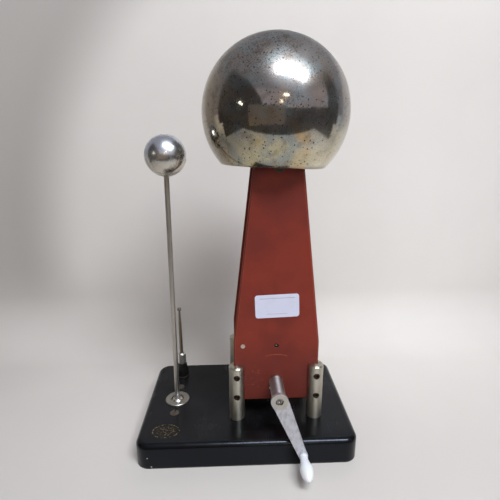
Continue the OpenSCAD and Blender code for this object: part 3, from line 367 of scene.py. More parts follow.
def dome_plate(name):
    """Old bright plate: grey above, cream and gold near the rim, dull flanks, pitted all over."""
    made = Finish(name, srgb(147, 143, 141), 0.1, Metallic=1.0)
    height = made.along("Z")
    low, high = box_mm("dome")
    clouds = made.grain(22.0, detail=6.0)
    uneven = made.math("ADD", height, made.span(clouds, 0.2, 0.8, -12.0, 12.0))
    made.layer(made.span(uneven, low.z + 38.0, low.z + 12.0), srgb(198, 190, 158))
    gold = made.span(made.grain(19.0, detail=5.0), 0.46, 0.74)
    gold = made.product(gold, made.span(height, low.z + 46.0, low.z + 22.0, 0.15, 0.85))
    made.layer(gold, srgb(196, 156, 92))
    cool = made.span(made.grain(13.0, detail=4.0), 0.46, 0.66, 0.0, 0.75)
    made.layer(cool, srgb(148, 158, 160))
    sideways = made.math("SUBTRACT", made.along("X"), middle("dome").x)
    flank = made.math("MAXIMUM", made.span(sideways, -30.0, -56.0, 0.0, 0.75),
                      made.span(sideways, 44.0, 57.0, 0.0, 0.4))
    made.layer(flank, srgb(164, 149, 124))
    foot = made.span(height, low.z + 40.0, low.z + 18.0)
    foot_left = made.product(foot, made.span(sideways, -16.0, -44.0, 0.0, 0.6))
    made.layer(foot_left, srgb(132, 127, 116))
    foot_right = made.product(foot, made.span(sideways, 4.0, 30.0, 0.0, 0.6))
    made.layer(foot_right, srgb(222, 217, 198))
    stain = made.span(made.grain(8.0, detail=7.0), 0.5, 0.78, 0.0, 0.6)
    stain = made.product(stain, made.span(sideways, 5.0, 35.0, 1.0, 0.35))
    made.layer(stain, srgb(104, 92, 76))
    brown = made.span(height, low.z + 4.0, low.z + 0.5, 0.0, 0.7)
    made.layer(brown, srgb(112, 90, 68))
    speckle = made.grain(0.8, detail=5.0)
    made.layer(made.span(speckle, 0.5, 0.72, 0.0, 0.4), srgb(84, 79, 71))
    # Pits of three sizes, crowded in drifts.
    drift = made.span(made.grain(14.0, detail=3.0), 0.42, 0.66, 0.0, 0.8)
    drift = made.math("MAXIMUM", drift, made.span(made.away(CROWDED_PITS), 36.0, 14.0))
    drift = made.product(drift, made.span(height, low.z + 20.0, low.z + 60.0, 0.3, 1.0))
    pits = None
    for size, lone, crowd in ((3.1, 0.17, 0.2), (1.7, 0.12, 0.24), (0.9, 0.13, 0.31)):
        reach = made.span(drift, 0.0, 1.0, lone, crowd)
        worm = made.math("ADD", made.cells(size), made.span(made.grain(0.5), 0.3, 0.7, -0.05, 0.05))
        pit = made.span(made.math("SUBTRACT", reach, worm), -0.05, 0.04)
        pits = pit if pits is None else made.math("MAXIMUM", pits, pit)
    made.layer(made.product(pits, 0.85), srgb(50, 46, 42))
    haze = made.span(clouds, 0.3, 0.75, 0.98, 0.86)
    made.set("Metallic", made.math("MAXIMUM", haze, pits))
    soft = made.span(height, low.z + 45.0, high.z - 16.0, 0.06, 0.3)
    rough = made.math("ADD", soft, made.span(clouds, 0.35, 0.7, 0.0, 0.07))
    rough = made.math("ADD", rough, made.span(speckle, 0.45, 0.75, 0.0, 0.1))
    made.set("Roughness", made.math("MAXIMUM", rough, made.product(pits, 0.4)))
    made.bump(pits, -0.006)
    made.bump(speckle, 0.002)
    return made


def ball_plate(name):
    """Bright plate with a painted reflection, cool above and warm below, a faint cloud and very few pits.
    """
    made = Finish(name, srgb(203, 209, 220), 0.08, Metallic=1.0)
    cloud = made.grain(7.0, detail=5.0)
    waist = middle("discharge_ball").z
    # Painted reflection: warmer below the ball's waist and cooler above it, as floor and sky would tint
    # it.
    made.layer(made.span(made.along("Z"), waist + 7.0, waist - 8.0), srgb(203, 198, 186))
    made.layer(made.span(cloud, 0.45, 0.75, 0.0, 0.5), srgb(172, 173, 174))
    pits = made.span(made.cells(2.4), 0.07, 0.04)
    pits = made.product(pits, made.span(made.grain(6.0), 0.48, 0.6))
    made.layer(made.product(pits, 0.7), srgb(70, 66, 60))
    made.set("Roughness", made.math("ADD", made.span(cloud, 0.3, 0.75, 0.22, 0.32),
                                    made.product(pits, 0.4)))
    made.bump(made.grain(0.6, detail=3.0), 0.0003)
    return made


LABEL_TURN = 2.2  # degrees, as the part's own label leans
RULE_RISE = 7.2  # from the label's middle to each ruled line


def label_paper(name):
    """White sticker paper, faintly toothed and grubby, with two plain ruled lines."""
    made = Finish(name, srgb(219, 221, 243), 0.45)
    centre = middle("plain_label")
    made.layer(made.span(made.grain(5.0, detail=4.0), 0.5, 0.75, 0.0, 0.3), srgb(208, 208, 216))
    slope = math.tan(math.radians(LABEL_TURN))
    across = made.math("SUBTRACT", made.along("X"), centre.x)
    rise = made.math("SUBTRACT", made.along("Z"), centre.z)
    level = made.math("SUBTRACT", rise, made.product(across, slope))
    for place, half_width, half_length in ((RULE_RISE, 0.3, 15.5), (-RULE_RISE, 0.2, 9.0)):
        rule = made.product(made.span(made.gap(level, place), half_width, half_width * 0.6),
                            made.span(made.math("ABSOLUTE", across), half_length, half_length - 0.4))
        made.layer(made.product(rule, 0.55), srgb(96, 98, 116))
    made.bump(made.grain(0.35, detail=3.0), 0.004)
    made.bump(made.grain(14.0, detail=1.0), 0.1)
    return made


def knob_white(name):
    """White turned plastic, a little grubby towards the neck."""
    made = Finish(name, srgb(244, 248, 255), 0.32, Subsurface_Weight=0.15, Subsurface_Scale=0.004)
    neck = box_mm("crank_knob")[1].y
    grime = made.span(made.along("Y"), neck - 5.0, neck - 1.0)
    grime = made.product(grime, made.span(made.grain(2.0, detail=4.0), 0.3, 0.7, 0.1, 0.45))
    made.layer(grime, srgb(176, 178, 176))
    made.layer(made.span(made.grain(4.0), 0.5, 0.8, 0.0, 0.12), srgb(205, 204, 196))
    made.set("Roughness", made.span(made.grain(1.0, (0.2, 1.0, 0.2)), 0.3, 0.7, 0.26, 0.4))
    made.bump(made.grain(0.4, (0.05, 1.0, 0.05), 2.0), 0.001)
    return made


def post_nickel(name):
    """Turned nickel, with painted shade inside the screw holes and the slots."""
    made = metal(name, srgb(192, 188, 175), srgb(170, 164, 148), 0.34, ROUND_Z, 0.25, turned="Z")
    left, right = middle("post_rear_left"), middle("post_rear_right")
    low, high = box_mm("post_rear_right")
    across = made.math("SUBTRACT", made.gap(made.along("X"), (left.x + right.x) / 2),
                       (right.x - left.x) / 2)
    deep = made.math("SUBTRACT", made.math("ABSOLUTE", made.along("Y")), right.y)
    squares = made.math("ADD", made.product(across, across), made.product(deep, deep))
    post_r = (high.x - low.x) / 2
    # Painted shade: dark inside the screw holes and the slot, below the post's top.
    painted_recess_shade = made.span(made.math("SQRT", squares), post_r - 0.2, post_r - 0.8)
    painted_recess_shade = made.product(painted_recess_shade, made.span(made.along("Z"), high.z - 1.8, high.z - 2.6))
    made.layer(made.product(painted_recess_shade, 0.85), srgb(62, 46, 38))
    return made


def screw_brown(name):
    """Browned steel, gone greyer where hands and dusters reach the heads in the base."""
    made = metal(name, srgb(80, 57, 48), srgb(50, 36, 31), 0.42, depth=0.002)
    top = box_mm("base_pan")[1].z
    grey = made.span(made.along("Z"), top + 3.5, top + 1.5, 0.0, 0.85)
    made.layer(grey, srgb(112, 107, 98))
    return made


def crank_arm_alloy(name):
    """Rumbled alloy, cool along the arm, with a painted cream reflection on the boss round the screw, and
    a few nicks.
    """
    made = metal(name, srgb(228, 231, 240), srgb(206, 208, 217), 0.44, mark=0.8, depth=0.003)
    # Painted reflection: a cream tint on the boss round the screw, where its face turns towards warmer
    # surroundings.
    painted_boss_reflection = made.span(made.away(middle("crank_screw"), (1, 0, 1)), 8.6, 6.2, 0.0, 0.8)
    made.layer(painted_boss_reflection, srgb(196, 190, 166))
    brushed = made.span(made.grain(3.0, (1.0, 1.0, 0.6), 6.0), 0.4, 0.7, 0.0, 0.7)
    made.layer(brushed, srgb(186, 186, 193))
    nicks = made.span(made.grain(1.1, (1.0, 1.0, 0.5), 5.0), 0.64, 0.72, 0.0, 0.3)
    made.layer(nicks, srgb(120, 118, 118))
    return made


def comb_brass(name):
    """Brass, with the comb rod's end tinned where it shows in the front plate."""
    made = metal(name, srgb(206, 180, 124), srgb(152, 124, 76), 0.3)
    face = box_mm("front_plate")[0].y
    tinned = made.span(made.along("Y"), face + 2.0, face + 0.5)
    made.layer(tinned, srgb(204, 190, 180))
    return made


def shaft_steel(name):
    """Ground steel, with painted shade on the ends of the axles, darkest round their rims."""
    made = metal(name, srgb(178, 178, 178), srgb(134, 132, 128), 0.24, ROUND_Y)
    end = box_mm("rear_plate")[1].y
    axle = middle("lower_axle")
    # Painted shade: the ends of the axles above the crank are darkened, most round their rims.
    painted_recess_shade = made.span(made.math("ABSOLUTE", made.along("Y")), end - 1.4, end - 0.8)
    above_crank = made.span(made.along("Z"), axle.z - 8.8, axle.z - 5.8)
    ring = made.span(made.away(axle, (1, 0, 1)), 0.6, 1.3)
    painted_recess_shade = made.product(made.product(painted_recess_shade, above_crank), made.math("ADD", 0.55, ring))
    made.layer(painted_recess_shade, srgb(44, 30, 26))
    return made


def plastic(name, colour, worn, roughness, mark=1.0, lay=(1, 1, 1), depth=0.006):
    """Moulded or turned plastic, fibre or rubber, worn paler or darker in patches."""
    made = Finish(name, colour, roughness)
    patch = made.grain(6.0, detail=5.0)
    marks = made.grain(mark, lay, 3.0)
    made.layer(made.span(patch, 0.42, 0.72, 0.0, 0.6), worn)
    made.layer(made.product(made.edges(0.3), 0.35), worn)
    made.set("Roughness", made.span(marks, 0.3, 0.7, roughness * 0.8, roughness * 1.2))
    made.bump(marks, depth)
    return made


def felt(name):
    """Pressed dark felt with loose fibres."""
    made = Finish(name, srgb(38, 38, 36), 0.95, Sheen_Weight=0.2)
    fibres = made.grain(0.6, detail=6.0)
    made.set("Base Color", made.blend(made.span(fibres, 0.3, 0.7), srgb(28, 28, 27), srgb(56, 55, 51)))
    made.bump(fibres, 0.12)
    return made


def cover_board(name):
    """Hardboard: pressed brown fibres in short strands."""
    made = Finish(name, srgb(120, 88, 58), 0.8)
    strands = made.grain(1.2, (1.0, 0.3, 1.0), 6.0)
    made.set("Base Color", made.blend(made.span(strands, 0.3, 0.7), srgb(96, 68, 44), srgb(146, 112, 78)))
    made.bump(strands, 0.05)
    return made


FINISHES = {
    "base_enamel": base_enamel, "plate_red": plate_red, "dome_plate": dome_plate,
    "ball_plate": ball_plate, "label_paper": label_paper, "knob_white": knob_white,
    "felt": felt, "cover_board": cover_board,
    "screw_steel": lambda n: metal(n, srgb(172, 169, 160), srgb(128, 122, 112), 0.3),
    "screw_brown": screw_brown,
    "post_nickel": post_nickel,
    "tie_metal": lambda n: metal(n, srgb(96, 93, 85), srgb(66, 63, 57), 0.4, ROUND_Y),
    "bush_bronze": lambda n: metal(n, srgb(116, 86, 58), srgb(76, 56, 40), 0.36, ROUND_Y),
    "gear_steel": lambda n: metal(n, srgb(84, 84, 86), srgb(46, 44, 42), 0.36, ROUND_Y),
    "pinion_brass": lambda n: metal(n, srgb(204, 172, 108), srgb(150, 118, 66), 0.28, ROUND_Y),
    "shaft_steel": shaft_steel,
    "crank_sleeve_steel": lambda n: metal(n, srgb(186, 183, 185), srgb(165, 161, 162), 0.42, ROUND_Y,
                                          turned="Y"),
    "crank_arm_alloy": crank_arm_alloy,
    "socket_screw": lambda n: metal(n, srgb(150, 146, 142), srgb(104, 99, 94), 0.3),
    "comb_brass": comb_brass,
    "earth_copper": lambda n: metal(n, srgb(190, 128, 94), srgb(128, 80, 56), 0.35, LENGTH_Y),
    "seat_brass": lambda n: metal(n, srgb(186, 158, 104), srgb(132, 106, 66), 0.32),
    "socket_block": lambda n: metal(n, srgb(160, 160, 158), srgb(118, 116, 112), 0.38, LENGTH_Y),
    "bezel_alloy": lambda n: metal(n, srgb(168, 166, 159), srgb(142, 139, 130), 0.32, depth=0.0008),
    "rod_nickel": lambda n: metal(n, srgb(186, 181, 173), srgb(158, 152, 141), 0.38, LENGTH_Z, 0.5, 24.0),
    "ferrule_chrome": lambda n: metal(n, srgb(200, 200, 212), srgb(176, 174, 184), 0.3, ROUND_Z),
    "collar_nickel": lambda n: metal(n, srgb(214, 214, 214), srgb(182, 180, 174), 0.28, ROUND_Z),
    "probe_brown": lambda n: metal(n, srgb(132, 120, 102), srgb(98, 88, 72), 0.36, LENGTH_Z, 0.4, 9.0),
    "roller_plastic": lambda n: plastic(n, srgb(216, 212, 196), srgb(176, 168, 146), 0.45, 0.5, ROUND_Y),
    "belt_rubber": lambda n: plastic(n, srgb(176, 150, 118), srgb(140, 114, 84), 0.7, 0.4, depth=0.02),
    "terminal_black": lambda n: plastic(n, srgb(16, 16, 17), srgb(40, 39, 38), 0.16, 1.5),
    "fibre_brown": lambda n: plastic(n, srgb(66, 51, 41), srgb(48, 38, 32), 0.6, 0.4),
}
made_finishes = {}


def finish(slot):
    """The slot's material, made once."""
    if slot not in made_finishes:
        made_finishes[slot] = FINISHES[slot](slot).material
    return made_finishes[slot]


def dress_nodes():
    """Gives each node's own mesh the material of its slot."""
    for name, node in NODES.items():
        for place in node.material_slots:
            place.material = finish(SLOTS[name])


# ---- Geometry helpers, in millimetres ----

def piece(name, bm, node, sharp=35.0):
    """Turns bm into a piece that rides and is finished as the node is, and stands for it."""
    bmesh.ops.recalc_face_normals(bm, faces=bm.faces)
    bm.transform(Matrix.Scale(MM, 4))
    mesh = bpy.data.meshes.new(name)
    bm.to_mesh(mesh)
    bm.free()
    mesh.materials.append(finish(SLOTS[node]))
    mesh.shade_smooth()
    mesh.set_sharp_from_angle(angle=math.radians(sharp))
    made = added(name, mesh)
    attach(made, NODES[node]["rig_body"])
    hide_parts(node)
    return made


def rounded(corners, steps=5):
    """A line through (x, y, fillet) corners, with each corner eased over its fillet."""
    line = []
    for i, (x, y, fillet) in enumerate(corners):
        here = Vector((x, y))
        if not fillet:
            line.append(here)
            continue
        before = Vector(corners[i - 1][:2]) - here
        after = Vector(corners[(i + 1) % len(corners)][:2]) - here
        start = here + before.normalized() * min(fillet, before.length * 0.49)
        end = here + after.normalized() * min(fillet, after.length * 0.49)
        for k in range(steps + 1):
            s = k / steps
            line.append(start * (1 - s) ** 2 + here * 2 * s * (1 - s) + end * s ** 2)
    return line


def lathe(profile, turns=96, closed=False):
    """Turns a line of (radius, height) round Z. A closed line joins its last point to its first."""
    bm = bmesh.new()
    rings = []
    for radius, height in profile:
        count = turns if radius > 1e-6 else 1
        rings.append([bm.verts.new((radius * math.cos(math.tau * i / turns),
                                    radius * math.sin(math.tau * i / turns), height))
                      for i in range(count)])
    pairs = list(zip(rings, rings[1:]))
    if closed:
        pairs.append((rings[-1], rings[0]))
    for low, high in pairs:
        for i in range(turns):
            j = i + 1
            corners = [low[i % len(low)], low[j % len(low)], high[j % len(high)], high[i % len(high)]]
            bm.faces.new(list(dict.fromkeys(corners)))
    return bm


def placed(bm, at, lean=0.0, axis="Y"):
    """Leans bm by degrees about an axis through its origin, and moves it there."""
    bm.transform(Matrix.Translation(at) @ Matrix.Rotation(math.radians(lean), 4, axis))
    return bm


def node_mesh(node):
    """A copy of the node's own mesh in millimetres."""
    bm = bmesh.new()
    bm.from_mesh(NODES[node].data)
    bm.transform(Matrix.Scale(1 / MM, 4))
    bmesh.ops.remove_doubles(bm, verts=bm.verts, dist=0.002)
    return bm


def softened(node, width, steps=2, crease=30.0):
    """The node's own shape with its sharp edges rounded to width."""
    bm = node_mesh(node)
    bmesh.ops.dissolve_limit(bm, angle_limit=math.radians(0.6), verts=bm.verts, edges=bm.edges)
    sharp = [e for e in bm.edges
             if len(e.link_faces) == 2 and e.calc_face_angle(0) > math.radians(crease)]
    bmesh.ops.bevel(bm, geom=sharp, offset=width, segments=steps, profile=0.6, affect="EDGES",
                    clamp_overlap=True, harden_normals=False)
    made = piece(node + "_worked", bm, node, sharp=50.0)
    weigh = made.modifiers.new("weigh", "WEIGHTED_NORMAL")
    weigh.keep_sharp = True
    return made


# ---- Pieces ----

BASE_CORNER, BASE_EDGE, BASE_WALL, BASE_TOP = 12.0, 5.0, 3.0, 3.0
EDGE_STEPS = 12  # round the base's top edge
FOOT_EASE = 0.25  # of the skirt's lower edge
FOOT_SCREW_Y = 20.3  # from the rod's foot to the screw before it and the one behind it
ROD_HOLE_R, BOLT_HOLE_R, LEAD_HOLE_R = 7.2, 2.5, 1.5
SINK_R, SCREW_HOLE_R = 4.3, 2.0  # of the countersunk holes before and behind the rod


def rounded_ring(bm, half, radius, height, steps=18):
    """The corners of a rectangle with round corners, as vertices."""
    ring = []
    for k, (sx, sy) in enumerate(((1, 1), (-1, 1), (-1, -1), (1, -1))):
        for i in range(steps + 1):
            a = math.radians(90 * (k + i / steps))
            ring.append(bm.verts.new((sx * (half.x - radius) + radius * math.cos(a),
                                      sy * (half.y - radius) + radius * math.sin(a), height)))
    return ring


def circle_ring(bm, x, y, radius, height, turns=48):
    """A level circle of vertices."""
    return [bm.verts.new((x + radius * math.cos(math.tau * i / turns),
                          y + radius * math.sin(math.tau * i / turns), height)) for i in range(turns)]


def bridge(bm, first, second):
    """Joins two rings of as many vertices with quads."""
    for i in range(len(first)):
        j = (i + 1) % len(first)
        bm.faces.new((first[i], first[j], second[j], second[i]))


def fill(bm, rings):
    """Fills the flat area between an outer ring and the holes in it."""
    edges = [bm.edges.get((ring[i - 1], ring[i])) or bm.edges.new((ring[i - 1], ring[i]))
             for ring in rings for i in range(len(ring))]
    bmesh.ops.triangle_fill(bm, edges=edges, use_beauty=True, use_dissolve=False)


def pan_holes():
    """(x, y, radius above, radius below) of each hole through the base's top."""
    rod, terminal, lead = middle("rod_bezel"), middle("terminal_washer"), middle("lead_nut")
    holes = [(rod.x, rod.y, ROD_HOLE_R, ROD_HOLE_R), (terminal.x, terminal.y, BOLT_HOLE_R, BOLT_HOLE_R),
             (lead.x, lead.y, LEAD_HOLE_R, LEAD_HOLE_R)]
    for side in (-1, 1):
        holes.append((rod.x, rod.y + side * FOOT_SCREW_Y, SINK_R, SCREW_HOLE_R))
    for post in ("post_front_left", "post_front_right", "post_rear_left", "post_rear_right"):
        at = middle(post)
        holes.append((at.x, at.y, BOLT_HOLE_R, BOLT_HOLE_R))
    return holes


def make_base():
    """The enamelled pan: an open box with round corners and a rounded top edge."""
    low, high = box_mm("base_pan")
    half = (high - low) / 2
    ceiling = high.z - BASE_TOP
    bm = bmesh.new()

    def ring(inset, height):
        return rounded_ring(bm, half - Vector((inset, inset, 0)), BASE_CORNER - inset, height)

    inner = [ring(BASE_WALL, ceiling), ring(BASE_WALL, low.z)]
    outer = [ring(FOOT_EASE, low.z), ring(0.0, low.z + FOOT_EASE)]
    for i in range(EDGE_STEPS + 1):
        a = math.radians(90 * i / EDGE_STEPS)
        outer.append(ring(BASE_EDGE * (1 - math.cos(a)), high.z - BASE_EDGE * (1 - math.sin(a))))
    rings = inner + outer
    for first, second in zip(rings, rings[1:]):
        bridge(bm, first, second)
    tops, bottoms = [outer[-1]], [inner[0]]
    for x, y, above, below in pan_holes():
        tops.append(circle_ring(bm, x, y, above, high.z))
        bottoms.append(circle_ring(bm, x, y, below, ceiling))
        bridge(bm, tops[-1], bottoms[-1])
    fill(bm, tops)
    fill(bm, bottoms)
    piece("base_shell", bm, "base_pan", sharp=40.0)


DOME_WALL, DOME_DROP, LIP_RADIUS = 1.0, 42.1, 3.0  # DOME_DROP is from the dome's middle to its rim
LIP_END, DOME_LEAN = -165.0, 2.4  # degrees
DOME_STEPS, LIP_STEPS = 128, 16


def make_dome():
    """The spun dome: a thin shell whose rim is rolled inwards."""
    low, high = box_mm("dome")
    radius = (high.x - low.x) / 2
    centre = Vector(((low.x + high.x) / 2, (low.y + high.y) / 2, high.z - radius))
    lip_z = LIP_RADIUS - DOME_DROP
    lip_x = math.sqrt((radius - LIP_RADIUS) ** 2 - lip_z ** 2)
    start = math.atan2(lip_z, lip_x)
    outside, inside = [], []
    for i in range(DOME_STEPS + 1):
        a = math.pi / 2 + (start - math.pi / 2) * i / DOME_STEPS
        outside.append((radius * math.cos(a), radius * math.sin(a)))
        inside.append(((radius - DOME_WALL) * math.cos(a), (radius - DOME_WALL) * math.sin(a)))
    for i in range(1, LIP_STEPS + 1):
        a = start + (math.radians(LIP_END) - start) * i / LIP_STEPS
        outside.append((lip_x + LIP_RADIUS * math.cos(a), lip_z + LIP_RADIUS * math.sin(a)))
        inside.append((lip_x + (LIP_RADIUS - DOME_WALL) * math.cos(a),
                       lip_z + (LIP_RADIUS - DOME_WALL) * math.sin(a)))
    outside[0], inside[0] = (0, radius), (0, radius - DOME_WALL)
    bm = lathe(outside + inside[::-1], turns=256)
    piece("dome_shell", placed(bm, centre, DOME_LEAN), "dome")


ROD_LEAN = 0.5  # degrees


def bored_ball(radius, bore, turns, steps):
    """A ball with a bore down from its middle, or up from it when bore is negative."""
    hole, side = abs(bore), math.copysign(1, bore)
    mouth = math.asin(hole / radius)
    line = [(0, 0), (hole, 0)]
    for i in range(steps + 1):
        a = mouth + (math.pi - mouth) * i / steps
        line.append((radius * math.sin(a), -side * radius * math.cos(a)))
    line[-1] = (0, side * radius)
    return lathe(line, turns)


def make_discharge_rod():
    """The leaning rod with its ball, its ball joint and the ferrule between them."""
    low, high = box_mm("joint_ball")
    joint = (low + high) / 2
    joint_r = (high.x - low.x) / 2
    rod_low, rod_high = box_mm("discharge_rod")
    rod_r = (rod_high.y - rod_low.y) / 2
    ball_low, ball_high = box_mm("discharge_ball")
    ball_r = (ball_high.x - ball_low.x) / 2
    rise = ((ball_low + ball_high) / 2 - joint).length
    bm = lathe([(0, 0), (rod_r, 0), (rod_r, rise), (0, rise)], 64)
    piece("rod_bar", placed(bm, joint, ROD_LEAN), "discharge_rod")
    bm = placed(bored_ball(ball_r, rod_r, 160, 96), (0, 0, rise))
    piece("rod_top_ball", placed(bm, joint, ROD_LEAN), "discharge_ball")
    bm = bored_ball(joint_r, -rod_r, 96, 48)
    piece("rod_foot_ball", placed(bm, joint, ROD_LEAN), "joint_ball")
    make_ferrule(joint, joint_r, rod_r)


def make_ferrule(joint, joint_r, rod_r):
    """A thin-walled ferrule with a soft bead round its foot and a domed top."""
    low, high = box_mm("rod_ferrule")
    wide = (high.x - low.x) / 2
    foot = math.sqrt(joint_r ** 2 - (wide - 0.2) ** 2)
    top = high.z - joint.z - 0.05
    line = rounded([(rod_r, foot, 0), (wide - 0.1, foot, 0.15), (wide - 0.1, foot + 0.9, 0.4),
                    (wide - 0.4, foot + 1.3, 0.3), (wide - 0.3, top, 1.3), (rod_r, top, 0)])
    piece("rod_collar", placed(lathe(line, 64, closed=True), joint, ROD_LEAN), "rod_ferrule")


def make_bezel():
    """The turned ring round the rod's foot, with eased edges."""
    low, high = box_mm("rod_bezel")
    wide, thick = (high.x - low.x) / 2, high.z - low.z
    hole = 6.0
    line = rounded([(hole, 0, 0), (wide, 0, 0), (wide, thick * 0.55, 0.3), (wide - 0.7, thick, 0.4),
                    (hole + 0.35, thick, 0.3), (hole, thick - 0.35, 0.2)])
    at = Vector(((low.x + high.x) / 2, (low.y + high.y) / 2, low.z))
    piece("rod_foot_ring", placed(lathe(line, 128, closed=True), at), "rod_bezel")


NECK_R, NECK_DIP = 3.55, 0.25  # of the handle
BORE_R, BORE_END = 1.55, 18.0  # of the handle's hollow
KNOB_STEPS = 64


def knob_half(s, widest, neck):
    """The handle's half width at s, from 0 at its neck to 1 at its tip."""
    waist, neck_end, belly = neck - NECK_DIP, 0.12, 0.56
    if s < neck_end:
        return neck - NECK_DIP * math.sin(s / neck_end * math.pi / 2)
    if s < belly:
        return waist + (widest - waist) * (1 - math.cos((s - neck_end) / (belly - neck_end) * math.pi)) / 2
    return widest * max(0.0, 1 - ((s - belly) / (1 - belly)) ** 1.9) ** 0.62


def make_knob():
    """The turned handle, hollow where its spindle runs."""
    low, high = box_mm("crank_knob")
    widest, length = (high.x - low.x) / 2, high.y - low.y
    line = [(0, BORE_END), (BORE_R, BORE_END), (BORE_R, 0.0), (NECK_R - NECK_DIP, 0.0), (NECK_R, NECK_DIP)]
    for i in range(1, KNOB_STEPS):
        s = 1 - (1 - i / KNOB_STEPS) ** 1.6
        line.append((knob_half(s, widest, NECK_R), length * s))
    line.append((0, length))
    at = Vector(((low.x + high.x) / 2, high.y, (low.z + high.z) / 2))
    piece("knob_grip", placed(lathe(line, 96), at, 90, "X"), "crank_knob", sharp=60.0)


SCREW_HEAD, SCREW_SUNK = 2.2, 1.7  # depth of the arm screw's head, and how far it sinks in its recess


def make_crank_screw():
    """The socket screw in the crank's arm, with its head down inside the recess."""
    face = box_mm("crank_screw")[0].y
    bm = node_mesh("crank_screw")
    for vertex in bm.verts:
        if vertex.co.y < face + SCREW_HEAD:
            vertex.co.y += SCREW_SUNK
    piece("crank_screw_sunk", bm, "crank_screw")


# How far the sharp edges of each node that is otherwise right are rounded.
SOFTENED = {
    "front_plate": 0.3, "rear_plate": 0.3, "plate_screws": 0.12, "tie_bar_screws": 0.2,
    "crank_arm": 0.35, "crank_grub_screw": 0.12, "foot_screws": 0.1, "bridge_screws": 0.2,
    "terminal_washer": 0.15, "terminal_nut": 0.2, "probe_collar": 0.2, "lower_comb_rod": 0.25,
    "shaft_collar": 0.3, "top_bridge": 0.4,
}


def make_pieces():
    """Every piece that stands for a node."""
    make_base()
    make_dome()
    make_discharge_rod()
    make_bezel()
    make_knob()
    make_crank_screw()
    for node, width in SOFTENED.items():
        softened(node, width)


# ---- Studio: a pale sweep, one large soft lamp, and cards that only bright metal mirrors ----

# Painted light: the middle of a pool of light painted on the floor and backdrop.
PAINTED_LIGHT_POOL = (200.0, 170.0, 130.0)  # the palest spot of the sweep, in millimetres


def sweep_paper(name):
    """Matt paper with a faint mottle and painted light: lighter up the backdrop, a pool of light right of
    the tower, painted shade far off.
    """
    made = Finish(name, srgb(217, 211, 208), 0.9, Specular_IOR_Level=0.1)
    height, distance = made.along("Z"), made.away(PAINTED_LIGHT_POOL)
    # Painted light: lighter higher up, a painted pool of light round the palest spot, and painted shade
    # far from it, most up the backdrop.
    made.layer(made.span(height, 20.0, 150.0), srgb(224, 218, 215))
    made.layer(made.span(distance, 60.0, 280.0, 1.0, 0.0), srgb(236, 231, 228))
    painted_shade_far_up = made.product(made.span(distance, 405.0, 500.0), made.span(height, 5.0, 120.0))
    made.layer(painted_shade_far_up, srgb(166, 161, 158))
    made.layer(made.span(distance, 380.0, 600.0, 0.0, 0.7), srgb(196, 190, 187))
    made.layer(made.span(made.grain(160.0, detail=4.0), 0.35, 0.65, 0.0, 0.04), srgb(120, 116, 114))
    return made


def clear_where(paper, share):
    """Lets the pale world show through the paper where share nears 1."""
    pick = paper.node("MixShader")
    paper.plug(pick.inputs[0], share)
    paper.plug(pick.inputs[1], paper.shader.outputs[0])
    paper.plug(pick.inputs[2], paper.node("BsdfTransparent").outputs[0])
    paper.surface(pick.outputs[0])


def stage_mesh(name, verts, faces, material):
    """A mesh that belongs to the studio and not to the object."""
    mesh = bpy.data.meshes.new(name)
    mesh.from_pydata(verts, [], faces)
    mesh.materials.append(material)
    mesh.shade_smooth()
    made = added(name, mesh)
    return made


# The studio's own sizes are in metres, and its fades in millimetres.
SWEEP_START, SWEEP_RADIUS, SWEEP_HALF, SWEEP_TOP = 0.1, 0.07, 0.9, 0.5
SWEEP_RISE, SWEEP_STEPS = 0.0004, 24  # the rise keeps the backdrop's foot just over the floor
FLOOR_HALF = 4.0
# Where the backdrop's ends, its top and the floor start and finish fading away.
SWEEP_FADE, SWEEP_TOP_FADE, FLOOR_FADE = (380.0, 860.0), (435.0, 495.0), (480.0, 1300.0)


def make_sweep():
    """A floor, and a backdrop that rises from it and is clear from behind."""
    floor = sweep_paper("stage_floor")
    clear_where(floor, floor.span(floor.away((0.0, 0.0, 0.0)), *FLOOR_FADE))
    stage_mesh("floor", [(-FLOOR_HALF, -FLOOR_HALF, 0), (FLOOR_HALF, -FLOOR_HALF, 0),
                         (FLOOR_HALF, FLOOR_HALF, 0), (-FLOOR_HALF, FLOOR_HALF, 0)],
               [(0, 1, 2, 3)], floor.material)
    backdrop = sweep_paper("stage_backdrop")
    sideways = backdrop.math("ABSOLUTE", backdrop.along("X"))
    ends = backdrop.math("MAXIMUM", backdrop.span(sideways, *SWEEP_FADE),
                         backdrop.span(backdrop.along("Z"), *SWEEP_TOP_FADE))
    behind = backdrop.node("NewGeometry").outputs["Backfacing"]
    clear_where(backdrop, backdrop.math("MAXIMUM", ends, behind))
    line = []
    for i in range(SWEEP_STEPS + 1):
        a = math.radians(90 * i / SWEEP_STEPS)
        line.append((SWEEP_START + SWEEP_RADIUS * math.sin(a),
                     SWEEP_RADIUS * (1 - math.cos(a)) + SWEEP_RISE))
    line.append((line[-1][0], SWEEP_TOP))
    verts = [(side * SWEEP_HALF, y, z) for y, z in line for side in (-1, 1)]
    faces = [(2 * i, 2 * i + 1, 2 * i + 3, 2 * i + 2) for i in range(len(line) - 1)]
    stage_mesh("backdrop", verts, faces, backdrop.material)


def mirrored_only(card):
    """Shows a stage card to bright metal alone."""
    for other in ("camera", "diffuse", "shadow", "transmission"):
        setattr(card, "visible_" + other, False)


def glow(name, colour):
    """A material that shines evenly."""
    made = Finish(name, colour, 1.0)
    made.shine(colour)
    return made.material


def direction(azimuth, elevation):
    """A unit direction: azimuth 0 is the front, towards -Y, and 90 is +X."""
    a, e = math.radians(azimuth), math.radians(elevation)
    return Vector((math.sin(a) * math.cos(e), -math.cos(a) * math.cos(e), math.sin(e)))


